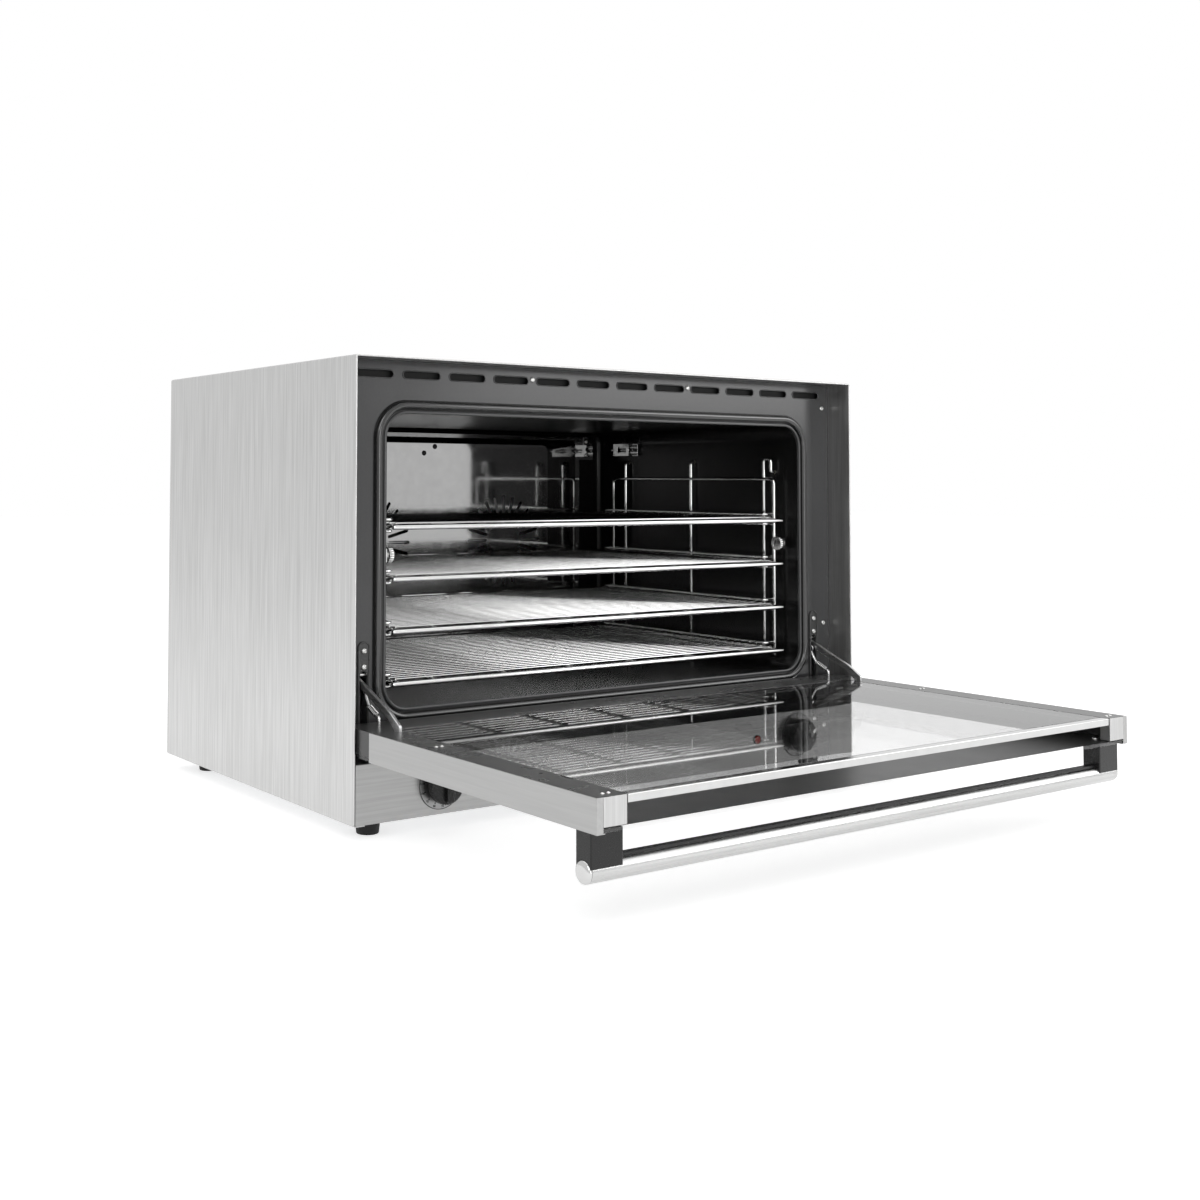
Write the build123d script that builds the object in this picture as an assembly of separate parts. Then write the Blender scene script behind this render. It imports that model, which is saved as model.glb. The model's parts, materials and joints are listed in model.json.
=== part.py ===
from build123d import *
from math import asin, cos, degrees, hypot, pi, sin, sqrt
import os

# A countertop convection oven with a drop-down glass door, shown with its door open.
# Millimetres. X runs to the right, Y to the back, Z up.
# While it is drawn, Y is 0 at the front edges of the casing and Z is 0 on the counter.

# Casing and its panels
casing_width = 835.0
casing_depth = 530.0
body_height = 535.0
foot_height = 20.0
casing_sheet = 1.2
casing_bend = 3.0
hem_depth = 12.0
casing_lip = 15.0
rear_flange = 14.0
back_sheet = 1.2
back_margin = 0.5
back_screw_margin = 60.0
back_screw_rows = 3
back_screw_inset = 157.5
base_sheet = 1.2
base_rim = 12.0
base_corner = 2.2
base_slots = 10
base_slot_width = 8.0
base_slot_pitch = 18.0
base_slot_length = 60.0
base_slot_front = 90.0
fit_gap = 0.3
press_gap = 0.03
sink = 1.0

# Front frame and its opening
frame_recess = 42.0
frame_sheet = 1.5
frame_flange = 12.0
panel_overlap = 12.6
side_margin = 65.5
top_margin = 64.0
opening_rise = 11.0
opening_corner = 30.0
rim_width = 3.0
rim_height = 2.5
vent_count = 12
vent_row_margin = 15.5
vent_bridge = 13.0
vent_height = 9.5
vent_drop = 17.5
frame_screw_lift = 2.0
frame_screw_inset = 14.5
frame_screw_drop = 35.5
frame_screw_rise = 63.0
lug_radius = 9.0
lug_gap = 0.35
gasket_gap = 4.0
gasket_width = 12.5
gasket_clearance = 0.3
gasket_round = 3.5

# Door, measured from its pivot line and from its inner face
door_face_height = 130.0
door_thickness = 33.0
pivot_drop = 19.0
gasket_space = 6.0
swing_clearance = 0.5
panel_clearance = 1.3
door_top_gap = 3.0
door_side_gap = 0.6
door_sheet = 1.2
trim_sheet = 1.5
trim_gap = 0.1
trim_start = 45.0
trim_fold = 8.0
trim_lip = 10.0
border_width = 37.0
ledge_width = 10.0
glass_thickness = 4.0
glass_gap = 0.3
glass_corner = 2.0
heel_border = 38.0
rail_width = 11.0
rail_height = 8.5
block_height = 27.0
block_depth = 12.0
block_round = 1.0
door_screw_place = 156.0
door_screw_end = 12.0
door_screw_spread = 3.5
door_screw_scale = 0.55

# Handle
handle_radius = 11.0
handle_wall = 1.5
handle_standoff = 38.0
handle_setback = 22.0
handle_overhang = 0.5
handle_cap = 5.0
handle_plug = 12.0
bracket_width = 38.0
bracket_depth = 22.0
bracket_inset = 2.5
bracket_round = 1.5
bracket_wrap = 4.0
bracket_screws = (8.0, 24.0)
bracket_screw_length = 14.0
backing_width = 14.0
backing_wrap = 6.0
backing_top = 2.5

# Pivot and stay arms; the turns are steps back and up from the pivot
pin_radius = 4.0
pin_clearance = 0.06
pin_reach = 25.0
spring_radius = 7.0
spring_length = 16.0
hinge_inset = 36.5
hinge_plate_width = 16.2
hinge_plate_sheet = 1.5
hinge_plate_drop = 9.0
hinge_plate_rise = 112.0
hinge_slot_width = 10.4
hinge_slot_drop = 2.0
hinge_slot_rise = 77.0
hinge_screw_rises = (81.9, 100.6)
hinge_screw_length = 3.2
arm_thickness = 4.0
arm_offset = 2.5
arm_gap = 0.2
arm_turns = ((39.0, 68.5), (-39.0, 35.0), (-56.5, 23.0), (-56.5, 7.0))
arm_widths = (8.0, 9.0, 11.0, 11.0)
arm_round = 3.5
clip_sheet = 1.5
hook_radius = 2.0
hook_offset = 2.8
hook_turns = ((26.0, 54.0), (20.0, 43.5), (16.0, 38.0), (-6.5, 27.5), (-6.5, 7.0))
hook_bend = 3.5
channel_width = 17.5
channel_sheet = 1.5
channel_depth = 68.0
channel_drop = 51.0
channel_rise = 105.0
channel_notch = 32.0
stop_radius = 3.0
stop_setback = 6.0

# Control panel and controls
panel_sheet = 1.2
panel_return = 11.8
panel_side_gap = 0.2
panel_lip_gap = 0.1
panel_bend = 1.8
knob_inset = 117.5
control_height = 57.0
control_screw_spread = 14.0
lamp_spacing = 78.0
dial_radius = 30.0
dial_sheet = 1.0
knob_radius = 22.5
knob_skirt = 6.0
knob_chamfer = 1.5
knob_grip_height = 17.0
knob_grip_width = 9.0
knob_grip_inset = 3.0
knob_grip_round = 2.0
knob_bore = 14.0
knob_gap = 0.6
spindle_radius = 3.0
spindle_clearance = 0.06
spindle_reach = 20.0
spindle_end_gap = 0.5
bush_radius = 4.6
timer_case = (50.0, 46.0, 30.0)
thermostat_case = (42.0, 40.0, 28.0)
case_round = 4.0
blade_count = 4
blade_pitch = 8.0
blade_size = (0.8, 9.0, 6.0)
control_screw_length = 6.0
lamp_radius = 6.5
lamp_height = 3.2
lamp_round = 2.4
lamp_neck = 5.0
lamp_body_radius = 8.5
lamp_body_depth = 30.0
lamp_blade_spread = 4.0

# Cavity
liner_sheet = 1.0
liner_margin = 1.0
liner_corner = 20.0
liner_flange = 10.0
rear_space = 40.0
insulation = 16.0
wool_window = 15.0
wool_corner = 8.0
baffle_stand = 32.0
baffle_raise = 14.0
baffle_inset = 61.0
baffle_slope = 78.0
baffle_edge = 8.0
baffle_field_margin = 16.0
baffle_corner = 6.0
baffle_field_corner = 10.0
baffle_sheet = 1.0
baffle_gap = 6.0
tab_length = 30.0
tab_height = 38.0
tab_screw = 11.5
tab_overlap = 4.0
post_radius = 4.0
fan_spacing = 250.0
fan_radius = 76.0
fan_depth = 19.0
fan_disc = 1.0
fan_hub_radius = 12.0
fan_blades = 16
fan_blade_root = 15.0
fan_blade_sheet = 1.2
fan_gap = 4.0
grille_slots = 24
grille_slot = (38.0, 5.0)
grille_radius = 52.0
element_radius = 96.0
element_tube = 3.3
element_leg = 12.0
element_bend = 6.0
element_stub = 8.0
element_tail = 14.0
shaft_radius = 4.0
shaft_clearance = 0.06
shaft_hole = 8.0
shaft_nut = (6.5, 2.5)
motor_radius = 38.0
motor_depth = 35.0
motor_plate = 2.0
motor_stack = 20.0
motor_bridge = (14.0, 6.0)
motor_coil = (32.0, 14.0)
motor_coil_inset = 1.0

# Wire racks and their supports
rack_count = 4
rack_first_rise = 26.0
rack_pitch_margin = 100.0
rack_side_gap = 28.0
rack_front = 52.0
rack_back_gap = 10.0
rack_rod = 3.25
rack_rod_overhang = 9.0
rack_corner = 9.0
rack_bar = 2.0
rack_bars = 6
rack_wire = 1.25
rack_wires = 26
rack_wire_margin = 12.0
rack_seat = 0.1
weld_gap = 0.05
rack_headroom = 1.0
support_wall_gap = 7.0
support_wire = 2.5
support_bend = 5.0
support_frame_bend = 7.0
support_front = 78.5
support_back_gap = 18.0
support_first = 24.5
support_last = 25.0
support_rise = 15.0
support_drop = 76.0
support_peg_drop = 49.0
hairpin_width = 14.0
hairpin_lift = 3.0
hairpin_peg_drop = 66.0
runner_wire = 2.0
runner_inset = 5.0
runner_bend = 5.0
nut_radius = 7.0
nut_length = 7.0
nut_collar = (4.5, 3.0)
nut_notches = 18
nut_notch = 0.55
nut_ahead = 13.5
nut_drop = 33.5
stud_radius = 2.5
stud_gap = 0.1
nut_tab_sheet = 1.5
nut_tab_half = 8.0

# Thermostat's bulb, bracket and capillary
bulb_radius = 3.0
bulb_length = 54.0
bulb_wall_gap = 9.0
bulb_drop = 28.0
bulb_exit_gap = 6.0
capillary_radius = 1.0
capillary_hole = 2.4
capillary_bend = 5.5
capillary_side = 22.0
capillary_height = 70.0
capillary_turn = 130.0
sensor_bracket_depth = 16.0
sensor_bracket_half = 10.0
sensor_bracket_sheet = 1.0
sensor_bracket_ends = (6.0, 10.0)

# Feet, fasteners and fittings on the back
foot_radius = 15.0
foot_taper = 2.0
foot_hollow = 7.0
foot_recess = 8.0
foot_bore = 3.2
foot_chamfer = 1.0
foot_inset_x = 45.5
foot_inset_y = 45.0
bolt_radius = 2.8
bolt_head = (5.6, 4.0)
bolt_nut = (5.6, 4.5)
bolt_end = 6.0
screw_head_radius = 3.6
screw_head_height = 2.2
screw_head_round = 0.55
screw_shank = 1.75
screw_hole = 1.9
screw_length = 4.0
back_screw_length = 3.0
baffle_screw_length = 6.0
gland_inset = 120.0
gland_height = 62.0
gland_radius = 10.0
gland_reach = 14.0
gland_neck = 7.9
gland_nut = (11.0, 5.0)
gland_tail = 10.0
gland_bore = 5.0
louvre_rows = 5
low_louvre_rows = 2
low_louvre_height = 56.0
louvre_length = 44.0
louvre_bridge = 10.0
louvre_height = 5.0
louvre_pitch = 12.0
steam_radius = 10.0
steam_wall = 1.0
steam_reach = 6.0
steam_inset = 130.0
steam_drop = 84.0
terminal_setback = 50.0
terminal_size = (90.0, 40.0, 22.0)
terminal_ways = 5
terminal_pitch = 16.0
terminal_mouth = (10.0, 12.0, 13.0)

# Places that follow from the sizes above
body_bottom = foot_height
body_top = foot_height + body_height
body_middle = body_bottom + body_height / 2
casing_half = casing_width / 2
inner_half = casing_half - casing_sheet
hem_half = inner_half - casing_sheet
tray_bottom = body_bottom + casing_sheet
base_top = tray_bottom + base_sheet
opening_width = casing_width - 2 * side_margin
opening_bottom = door_face_height + opening_rise
opening_top = body_top - top_margin
opening_height = opening_top - opening_bottom
opening_middle = opening_bottom + opening_height / 2
frame_back = frame_recess + frame_sheet
vent_pitch = (casing_width - 2 * vent_row_margin) / vent_count
door_seat = frame_recess - gasket_space
pivot_y = door_seat - pivot_drop
pivot_z = door_face_height - pivot_drop
heel_radius = pivot_drop + gasket_space - hinge_plate_sheet - swing_clearance
door_heel = sqrt(heel_radius**2 - pivot_drop**2)
door_half = hem_half - door_side_gap
door_reach = body_top - 2 * casing_sheet - door_top_gap - pivot_z
trim_inner = door_half - trim_sheet
pan_half = trim_inner - trim_gap
pan_end = door_reach - door_sheet
glass_half = door_half - border_width
outer_pane = (door_thickness - 1.0 - glass_thickness, door_thickness - 1.0)
panel_half = hem_half - panel_side_gap
panel_low = tray_bottom + panel_lip_gap
panel_top = pivot_z - hypot(door_heel, door_thickness - pivot_drop) - panel_clearance
frame_bottom = panel_top - panel_overlap
hinge_centre = casing_half - hinge_inset
hinge_slot_length = hinge_slot_rise + hinge_slot_drop
hinge_slot_middle = pivot_z + (hinge_slot_rise - hinge_slot_drop) / 2
arm_x = hinge_centre + arm_offset
knob_centres = (knob_inset - casing_half, casing_half - knob_inset)
lamp_offset = knob_centres[1] - lamp_spacing
liner_half = opening_width / 2 + liner_margin
liner_back = casing_depth - rear_space
liner_rear = liner_back + liner_sheet
baffle_front = liner_back - baffle_stand
baffle_rear = baffle_front + baffle_raise
baffle_half = liner_half - baffle_inset
fan_back = baffle_front + baffle_sheet + fan_gap + fan_depth
fan_centres = (-fan_spacing / 2, fan_spacing / 2)
rack_half = liner_half - rack_side_gap
rack_back = baffle_front - rack_back_gap
rack_pitch = (opening_height - rack_pitch_margin) / rack_count
rack_heights = [opening_bottom + rack_first_rise + i * rack_pitch for i in range(rack_count)]
support_rear = baffle_front - support_back_gap
support_low = opening_bottom + support_rise
support_top = opening_top - support_drop
peg_height = opening_top - support_peg_drop
hairpin_peg_height = opening_top - hairpin_peg_drop
upright_depths = (
    support_front + support_first,
    (support_front + support_first + support_rear - support_last) / 2,
    support_rear - support_last,
)
upright_x = liner_half - support_wall_gap
frame_x = upright_x - 2 * support_wire - weld_gap
runner_x = rack_half - runner_inset
nut_y = support_front - nut_ahead
nut_z = rack_heights[-1] - nut_drop
bulb_x = liner_half - bulb_wall_gap
bulb_z = opening_top - bulb_drop
bulb_end = baffle_front - 2 * bulb_exit_gap
bulb_exit = baffle_front - bulb_exit_gap
front_reach = door_reach - pivot_y
origin_y = (casing_depth + gland_reach - front_reach) / 2
handle_y = pivot_y - door_reach + handle_setback
handle_z = door_face_height - outer_pane[1] - handle_standoff
handle_half = door_half + handle_overhang - handle_cap
bracket_far = door_half - bracket_inset
bracket_near = bracket_far - bracket_width
gland_place = (casing_half - gland_inset, gland_height)
steam_place = (casing_half - steam_inset, body_top - steam_drop)
foot_centres = [
    (x, y)
    for x in (foot_inset_x - casing_half, casing_half - foot_inset_x)
    for y in (foot_inset_y, casing_depth - foot_inset_y)
]


# Shapes used by many pieces
def span(x, y, z):
    """A block given by its low and high x, y and z."""
    centre = Pos((x[0] + x[1]) / 2, (y[0] + y[1]) / 2, (z[0] + z[1]) / 2)
    return centre * Box(x[1] - x[0], y[1] - y[0], z[1] - z[0])


def about(middle, width):
    """The low and high end of a width about its middle."""
    return (middle - width / 2, middle + width / 2)


def facing_front(depth):
    """A plane of x and z at a depth, whose front looks out of the oven."""
    return Plane(origin=(0, depth, 0), x_dir=(1, 0, 0), z_dir=(0, -1, 0))


def upright(outline, near, far):
    """An outline in x and z, carried from one depth to another."""
    return extrude(facing_front(near) * outline, amount=near - far)


def sideways(outline, left, right):
    """An outline in y and z, carried from one x to another."""
    plane = Plane(origin=(left, 0, 0), x_dir=(0, 1, 0), z_dir=(1, 0, 0))
    return extrude(plane * outline, amount=right - left)


def rounded(width, height, corner, middle):
    """A rounded rectangle centred on x 0 and on a height."""
    return Pos(0, middle) * RectangleRounded(width, height, corner)


def rectangle(x, z):
    """A rectangle given by its low and high x and z."""
    return Pos((x[0] + x[1]) / 2, (z[0] + z[1]) / 2) * Rectangle(x[1] - x[0], z[1] - z[0])


def rod(start, end, radius):
    """A round bar between two points."""
    run = Vector(*end) - Vector(*start)
    return extrude(Plane(origin=start, z_dir=run) * Circle(radius), amount=run.length)


def rod_along_x(left, right, y, z, radius):
    """A round bar from side to side."""
    return rod((left, y, z), (right, y, z), radius)


def rod_along_y(near, far, x, z, radius):
    """A round bar from front to back."""
    return rod((x, near, z), (x, far, z), radius)


def bent_rod(points, bend, radius):
    """A round bar along straight runs joined by bends."""
    path = FilletPolyline(*points, radius=bend)
    return sweep(Plane(origin=path @ 0, z_dir=path % 0) * Circle(radius), path=path)


def outline_of(points):
    """A face inside a closed outline of straight edges."""
    return make_face(Polyline(*points, close=True))


def slot(length, height, x, z, turn=0.0):
    """A slot outline with round ends."""
    return Pos(x, z) * Rot(0, 0, turn) * SlotOverall(length, height)


def group(*solids):
    """Separate solids that share one node."""
    return Compound(children=[s for piece in solids for s in piece.solids()])


def mirrored(shape):
    """The same shape on the other side of the oven."""
    return mirror(shape, about=Plane.YZ)


def both_sides(shape):
    """A shape and its mirror image."""
    return group(shape, mirrored(shape))


def screw(point, out, length=screw_length, scale=1.0):
    """A pan-head screw seated at a point, its head facing out."""
    height = screw_head_height * scale
    head = Pos(0, 0, height / 2) * Cylinder(screw_head_radius * scale, height)
    head = fillet(head.edges().sort_by(Axis.Z)[-1], height * screw_head_round)
    shank = Pos(0, 0, -length / 2) * Cylinder(screw_shank, length)
    return Plane(origin=point, z_dir=out).location * (head + shank)


# Casing and outer panels
def outer_casing():
    """A wrapped sheet: two sides and a top, hemmed in front, with lips under and behind."""
    inside = rounded(
        2 * inner_half, body_height - 2 * casing_sheet, casing_bend - casing_sheet, body_middle
    )
    shell = rounded(casing_width, body_height, casing_bend, body_middle) - inside
    lip = casing_half - casing_lip
    shell -= rectangle((-lip, lip), (body_bottom - sink, tray_bottom + casing_bend))
    rear = casing_depth - back_sheet
    above_lip = rectangle((-casing_half, casing_half), (tray_bottom, body_top))
    open_front = rectangle((-hem_half, hem_half), (body_bottom, body_top - 2 * casing_sheet))
    hem = (inside & above_lip) - open_front
    edge = casing_half - rear_flange
    flange = (inside & above_lip) - rectangle((-edge, edge), (body_bottom, body_top - rear_flange))
    for x, z in back_screw_points():
        flange -= Pos(x, z) * Circle(screw_hole)
    casing = upright(shell, 0, rear) + upright(hem, 0, hem_depth)
    return casing + upright(flange, rear - casing_sheet, rear)


def back_screw_points():
    """Where the back panel is screwed to the casing's rear flange."""
    edge = casing_half - rear_flange / 2
    step = (body_height - 2 * back_screw_margin) / (back_screw_rows - 1)
    rows = [body_bottom + back_screw_margin + i * step for i in range(back_screw_rows)]
    column = casing_half - back_screw_inset
    top = [(x, body_top - rear_flange / 2) for x in (-column, 0.0, column)]
    return [(side * edge, z) for side in (-1, 1) for z in rows] + top


def louvre_points():
    """Centres of the air slots in the back panel, behind the motors and below them."""
    spread = (louvre_length + louvre_bridge) / 2
    columns = [centre + side * spread for centre in fan_centres for side in (-1, 1)]
    first = opening_middle - (louvre_rows - 1) / 2 * louvre_pitch
    rows = [first + r * louvre_pitch for r in range(louvre_rows)]
    rows += [low_louvre_height + r * louvre_pitch for r in range(low_louvre_rows)]
    return [(x, z) for x in columns for z in rows]


def back_panel():
    """A flat panel with air slots, the cable hole, the steam outlet and screw holes."""
    margin = 2 * back_margin
    face = rounded(casing_width - margin, body_height - margin, casing_bend, body_middle)
    for x, z in louvre_points():
        face -= slot(louvre_length, louvre_height, x, z)
    for x, z in back_screw_points():
        face -= Pos(x, z) * Circle(screw_hole)
    face -= Pos(*gland_place) * Circle(gland_neck + 0.1)
    face -= Pos(*steam_place) * Circle(steam_radius + fit_gap)
    return upright(face, casing_depth - back_sheet, casing_depth)


def base_panel():
    """A tray that lies on the casing's lips and carries the feet and the controls."""
    x = (fit_gap - inner_half, inner_half - fit_gap)
    y = (hem_depth + fit_gap, casing_depth - back_sheet - casing_sheet - fit_gap)
    rim_top = tray_bottom + base_rim
    tray = span(x, y, (tray_bottom, rim_top))
    tray = fillet(tray.edges().filter_by(Axis.Y).group_by(Axis.Z)[0], base_corner)
    tray -= span(
        (x[0] + base_sheet, x[1] - base_sheet),
        (y[0] + base_sheet, y[1] - base_sheet),
        (base_top, rim_top + sink),
    )
    for px, py in foot_centres:
        tray -= rod((px, py, body_bottom), (px, py, rim_top), bolt_radius + fit_gap)
    for i in range(base_slots):
        middle = (i - (base_slots - 1) / 2) * base_slot_pitch
        tray -= span(
            about(middle, base_slot_width),
            (base_slot_front, base_slot_front + base_slot_length),
            (body_bottom, rim_top),
        )
    return tray


def feet():
    """Four tapered rubber feet, recessed below for their screws."""
    toe = foot_radius - foot_taper
    profile = outline_of(
        [
            (foot_bore, foot_recess),
            (foot_hollow, foot_recess),
            (foot_hollow, 0.0),
            (toe, 0.0),
            (toe + foot_chamfer, foot_chamfer),
            (foot_radius, tray_bottom),
            (foot_bore, tray_bottom),
        ]
    )
    foot = revolve(Plane.XZ * profile, axis=Axis.Z)
    return group(*[Pos(x, y, 0) * foot for x, y in foot_centres])


def foot_screws():
    """Hexagon screws that hold the feet to the base panel, with nuts inside."""
    radius, height = bolt_head
    nut_size, nut_height = bolt_nut
    bolt = Pos(0, 0, foot_recess - height) * extrude(RegularPolygon(radius, 6), amount=height)
    bolt += rod((0, 0, foot_recess), (0, 0, base_top + bolt_end), bolt_radius)
    bolt += Pos(0, 0, base_top) * extrude(RegularPolygon(nut_size, 6), amount=nut_height)
    return group(*[Pos(x, y, 0) * bolt for x, y in foot_centres])


# Front frame, gasket and control panel
def opening_face(grow):
    """The opening's rounded outline, grown by a distance on every side."""
    return rounded(
        opening_width + 2 * grow, opening_height + 2 * grow, opening_corner + grow, opening_middle
    )


def frame_screw_points():
    """Two screws between air slots and two beside each casing wall."""
    top = [(side * 2 * vent_pitch, body_top - vent_drop + frame_screw_lift) for side in (-1, 1)]
    heights = (body_top - frame_screw_drop, opening_bottom + frame_screw_rise)
    edge = casing_half - frame_screw_inset
    return top + [(side * edge, z) for side in (-1, 1) for z in heights]


def arm_slot():
    """The right-hand slot for a stay arm, shared by the front frame and the hinge plate."""
    return slot(hinge_slot_length, hinge_slot_width, hinge_centre, hinge_slot_middle, 90)


def pivot_lug():
    """A lug bent forward from the front frame, with the hole for a door pin."""
    outer = hem_half - lug_gap
    nose = Pos(pivot_y, pivot_z) * Circle(lug_radius)
    bar = rectangle((pivot_y, frame_recess), about(pivot_z, 2 * lug_radius))
    hole = Pos(pivot_y, pivot_z) * Circle(pin_radius + press_gap)
    return sideways(nose + bar - hole, outer - frame_sheet, outer)


def front_frame():
    """The pressed front: opening with a raised rim, air slots, arm slots and pivot lugs."""
    half = inner_half - fit_gap
    top = body_top - casing_sheet - fit_gap
    middle = (top + frame_bottom) / 2
    outline = rounded(2 * half, top - frame_bottom, casing_bend, middle)
    opening = opening_face(0)
    face = outline - opening
    for i in range(vent_count):
        x = (i - (vent_count - 1) / 2) * vent_pitch
        face -= slot(vent_pitch - vent_bridge, vent_height, x, body_top - vent_drop)
    face -= arm_slot()
    face -= mirror(arm_slot(), about=Plane.YZ)
    for x, z in frame_screw_points() + hinge_screw_points():
        face -= Pos(x, z) * Circle(screw_hole)
    frame = upright(face, frame_recess, frame_back)
    inner = rounded(
        2 * (half - frame_sheet),
        top - frame_bottom - 2 * frame_sheet,
        casing_bend - frame_sheet,
        middle,
    )
    frame += upright(outline - inner, frame_back, frame_back + frame_flange)
    frame += upright(opening_face(rim_width) - opening, frame_recess - rim_height, frame_recess)
    lug = pivot_lug()
    return frame + lug + mirrored(lug)


def panel_screws():
    """Screws of the front frame, of the hinge plates and of the fan baffle."""
    front = (0, -1, 0)
    frame = [screw((x, frame_recess, z), front) for x, z in frame_screw_points()]
    seat = frame_recess - hinge_plate_sheet
    plates = [screw((x, seat, z), front, hinge_screw_length) for x, z in hinge_screw_points()]
    baffle = [
        screw((x, baffle_rear, z), front, baffle_screw_length) for x, z in baffle_screw_points()
    ]
    return group(*frame, *plates, *baffle)


def door_gasket():
    """A soft round-faced seal in a ring about the opening."""
    face = opening_face(gasket_gap + gasket_width) - opening_face(gasket_gap)
    ring = upright(face, door_seat + gasket_clearance, frame_recess)
    front = ring.faces().sort_by(Axis.Y)[0]
    return fillet(front.edges(), gasket_round)


def control_panel():
    """The lower front panel, with a shelf on top that meets the front frame."""
    x = (-panel_half, panel_half)
    front = rectangle(x, (panel_low, panel_top))
    for middle in knob_centres:
        front -= Pos(middle, control_height) * Circle(bush_radius + fit_gap / 2)
        for side in (-1, 1):
            front -= Pos(middle + side * control_screw_spread, control_height) * Circle(screw_hole)
    front -= Pos(lamp_offset, control_height) * Circle(lamp_radius - fit_gap)
    panel = upright(front, 0, panel_sheet)
    panel += span(x, (0, frame_recess), (panel_top - panel_sheet, panel_top))
    panel += span(x, (0, panel_return), (panel_low, panel_low + panel_sheet))
    panel += span(x, (frame_recess - panel_sheet, frame_recess), (frame_bottom, panel_top))
    top_edges = panel.edges().filter_by(Axis.X).group_by(Axis.Z)[-1]
    return fillet(top_edges.sort_by(Axis.Y)[0], panel_bend)


# Controls
def dials():
    """Two round scale plates under the knobs."""
    plates = []
    for x in knob_centres:
        ring = Circle(dial_radius) - Circle(bush_radius + fit_gap / 2)
        for side in (-1, 1):
            ring -= Pos(side * control_screw_spread, 0) * Circle(screw_hole)
        plates.append(upright(Pos(x, control_height) * ring, -dial_sheet, 0))
    return group(*plates)


def knob(x):
    """A skirted knob with a finger grip across it."""
    skirt = Pos(0, 0, knob_skirt / 2) * Cylinder(knob_radius, knob_skirt)
    skirt = chamfer(skirt.edges().sort_by(Axis.Z)[-1], knob_chamfer)
    height = knob_skirt + knob_grip_height
    reach = knob_radius - knob_grip_inset
    bar = extrude(Rectangle(knob_grip_width, 2 * reach), amount=height)
    grip = bar & (Pos(0, 0, height / 2) * Cylinder(reach, height))
    grip = fillet(grip.faces().sort_by(Axis.Z)[-1].edges(), knob_grip_round)
    bore = Pos(0, 0, knob_bore / 2) * Cylinder(spindle_radius + press_gap, knob_bore)
    seat = Plane(origin=(x, -dial_sheet - knob_gap, control_height), x_dir=(1, 0, 0), z_dir=(0, -1, 0))
    return seat.location * (skirt + grip - bore)


def spindle(x):
    """The round spindle that joins a knob to its switch."""
    front = spindle_end_gap - dial_sheet - knob_gap - knob_bore
    return rod_along_y(front, panel_sheet + spindle_reach, x, control_height, spindle_radius)


def switch_body(x, size):
    """A switch case behind the panel, with a bush through it and terminals behind."""
    width, height, depth = size
    rear = panel_sheet + depth
    case = span(about(x, width), (panel_sheet, rear), about(control_height, height))
    case = fillet(case.edges().filter_by(Axis.Y), case_round)
    case += rod_along_y(-dial_sheet, panel_sheet, x, control_height, bush_radius)
    bore = spindle_radius + spindle_clearance
    case -= rod_along_y(-2 * dial_sheet, panel_sheet + spindle_reach, x, control_height, bore)
    sheet, length, wide = blade_size
    for i in range(blade_count):
        middle = x + (i - (blade_count - 1) / 2) * blade_pitch
        case += span(about(middle, sheet), (rear, rear + length), about(control_height, wide))
    for side in (-1, 1):
        case -= rod_along_y(
            panel_sheet - sink,
            panel_sheet + control_screw_length + sink,
            x + side * control_screw_spread,
            control_height,
            screw_hole,
        )
    return case


def control_screws():
    """Flat screws that hold each switch through its scale plate."""
    places = [x + side * control_screw_spread for x in knob_centres for side in (-1, 1)]
    end = panel_sheet + control_screw_length
    return group(*[rod_along_y(0, end, x, control_height, screw_shank) for x in places])


def lamp_lens():
    """A small domed lens standing out of the panel."""
    bead = Pos(0, 0, lamp_height / 2) * Cylinder(lamp_radius, lamp_height)
    bead = fillet(bead.edges().sort_by(Axis.Z)[-1], lamp_round)
    neck = Pos(0, 0, -lamp_neck / 2) * Cylinder(lamp_radius - 2 * fit_gap, lamp_neck)
    seat = Plane(origin=(lamp_offset, 0, control_height), z_dir=(0, -1, 0))
    return seat.location * (bead + neck)


def lamp_body():
    """The lamp's holder behind the panel."""
    holder = rod_along_y(panel_sheet, lamp_body_depth, lamp_offset, control_height, lamp_body_radius)
    socket = lamp_radius - 2 * fit_gap + press_gap
    holder -= rod_along_y(0, lamp_neck, lamp_offset, control_height, socket)
    sheet, length, wide = blade_size
    for side in (-1, 1):
        holder += span(
            about(lamp_offset + side * lamp_blade_spread, sheet),
            (lamp_body_depth, lamp_body_depth + length),
            about(control_height, wide),
        )
    return holder


# Cavity
def liner_face(grow):
    """The cavity's section, grown by a distance on every side."""
    return rounded(
        2 * (liner_half + grow),
        opening_height + 2 * (liner_margin + grow),
        liner_corner + grow,
        opening_middle,
    )


def post_points():
    """Where the baffle's tabs stand on posts."""
    reach = opening_height / 2 - tab_height / 2 - baffle_gap
    x = baffle_half + tab_length / 2
    return [(sx * x, opening_middle + sz * reach) for sx in (-1, 1) for sz in (-1, 1)]


def baffle_screw_points():
    """Two screws in each tab of the baffle."""
    return [(x, z + d) for x, z in post_points() for d in (-tab_screw, tab_screw)]


def peg_points():
    """Depths and heights of the rack supports' pegs in the cavity's side walls."""
    tall = [(y, peg_height) for y in upright_depths[1:]]
    return [(upright_depths[0] - hairpin_width, hairpin_peg_height)] + tall


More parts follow.
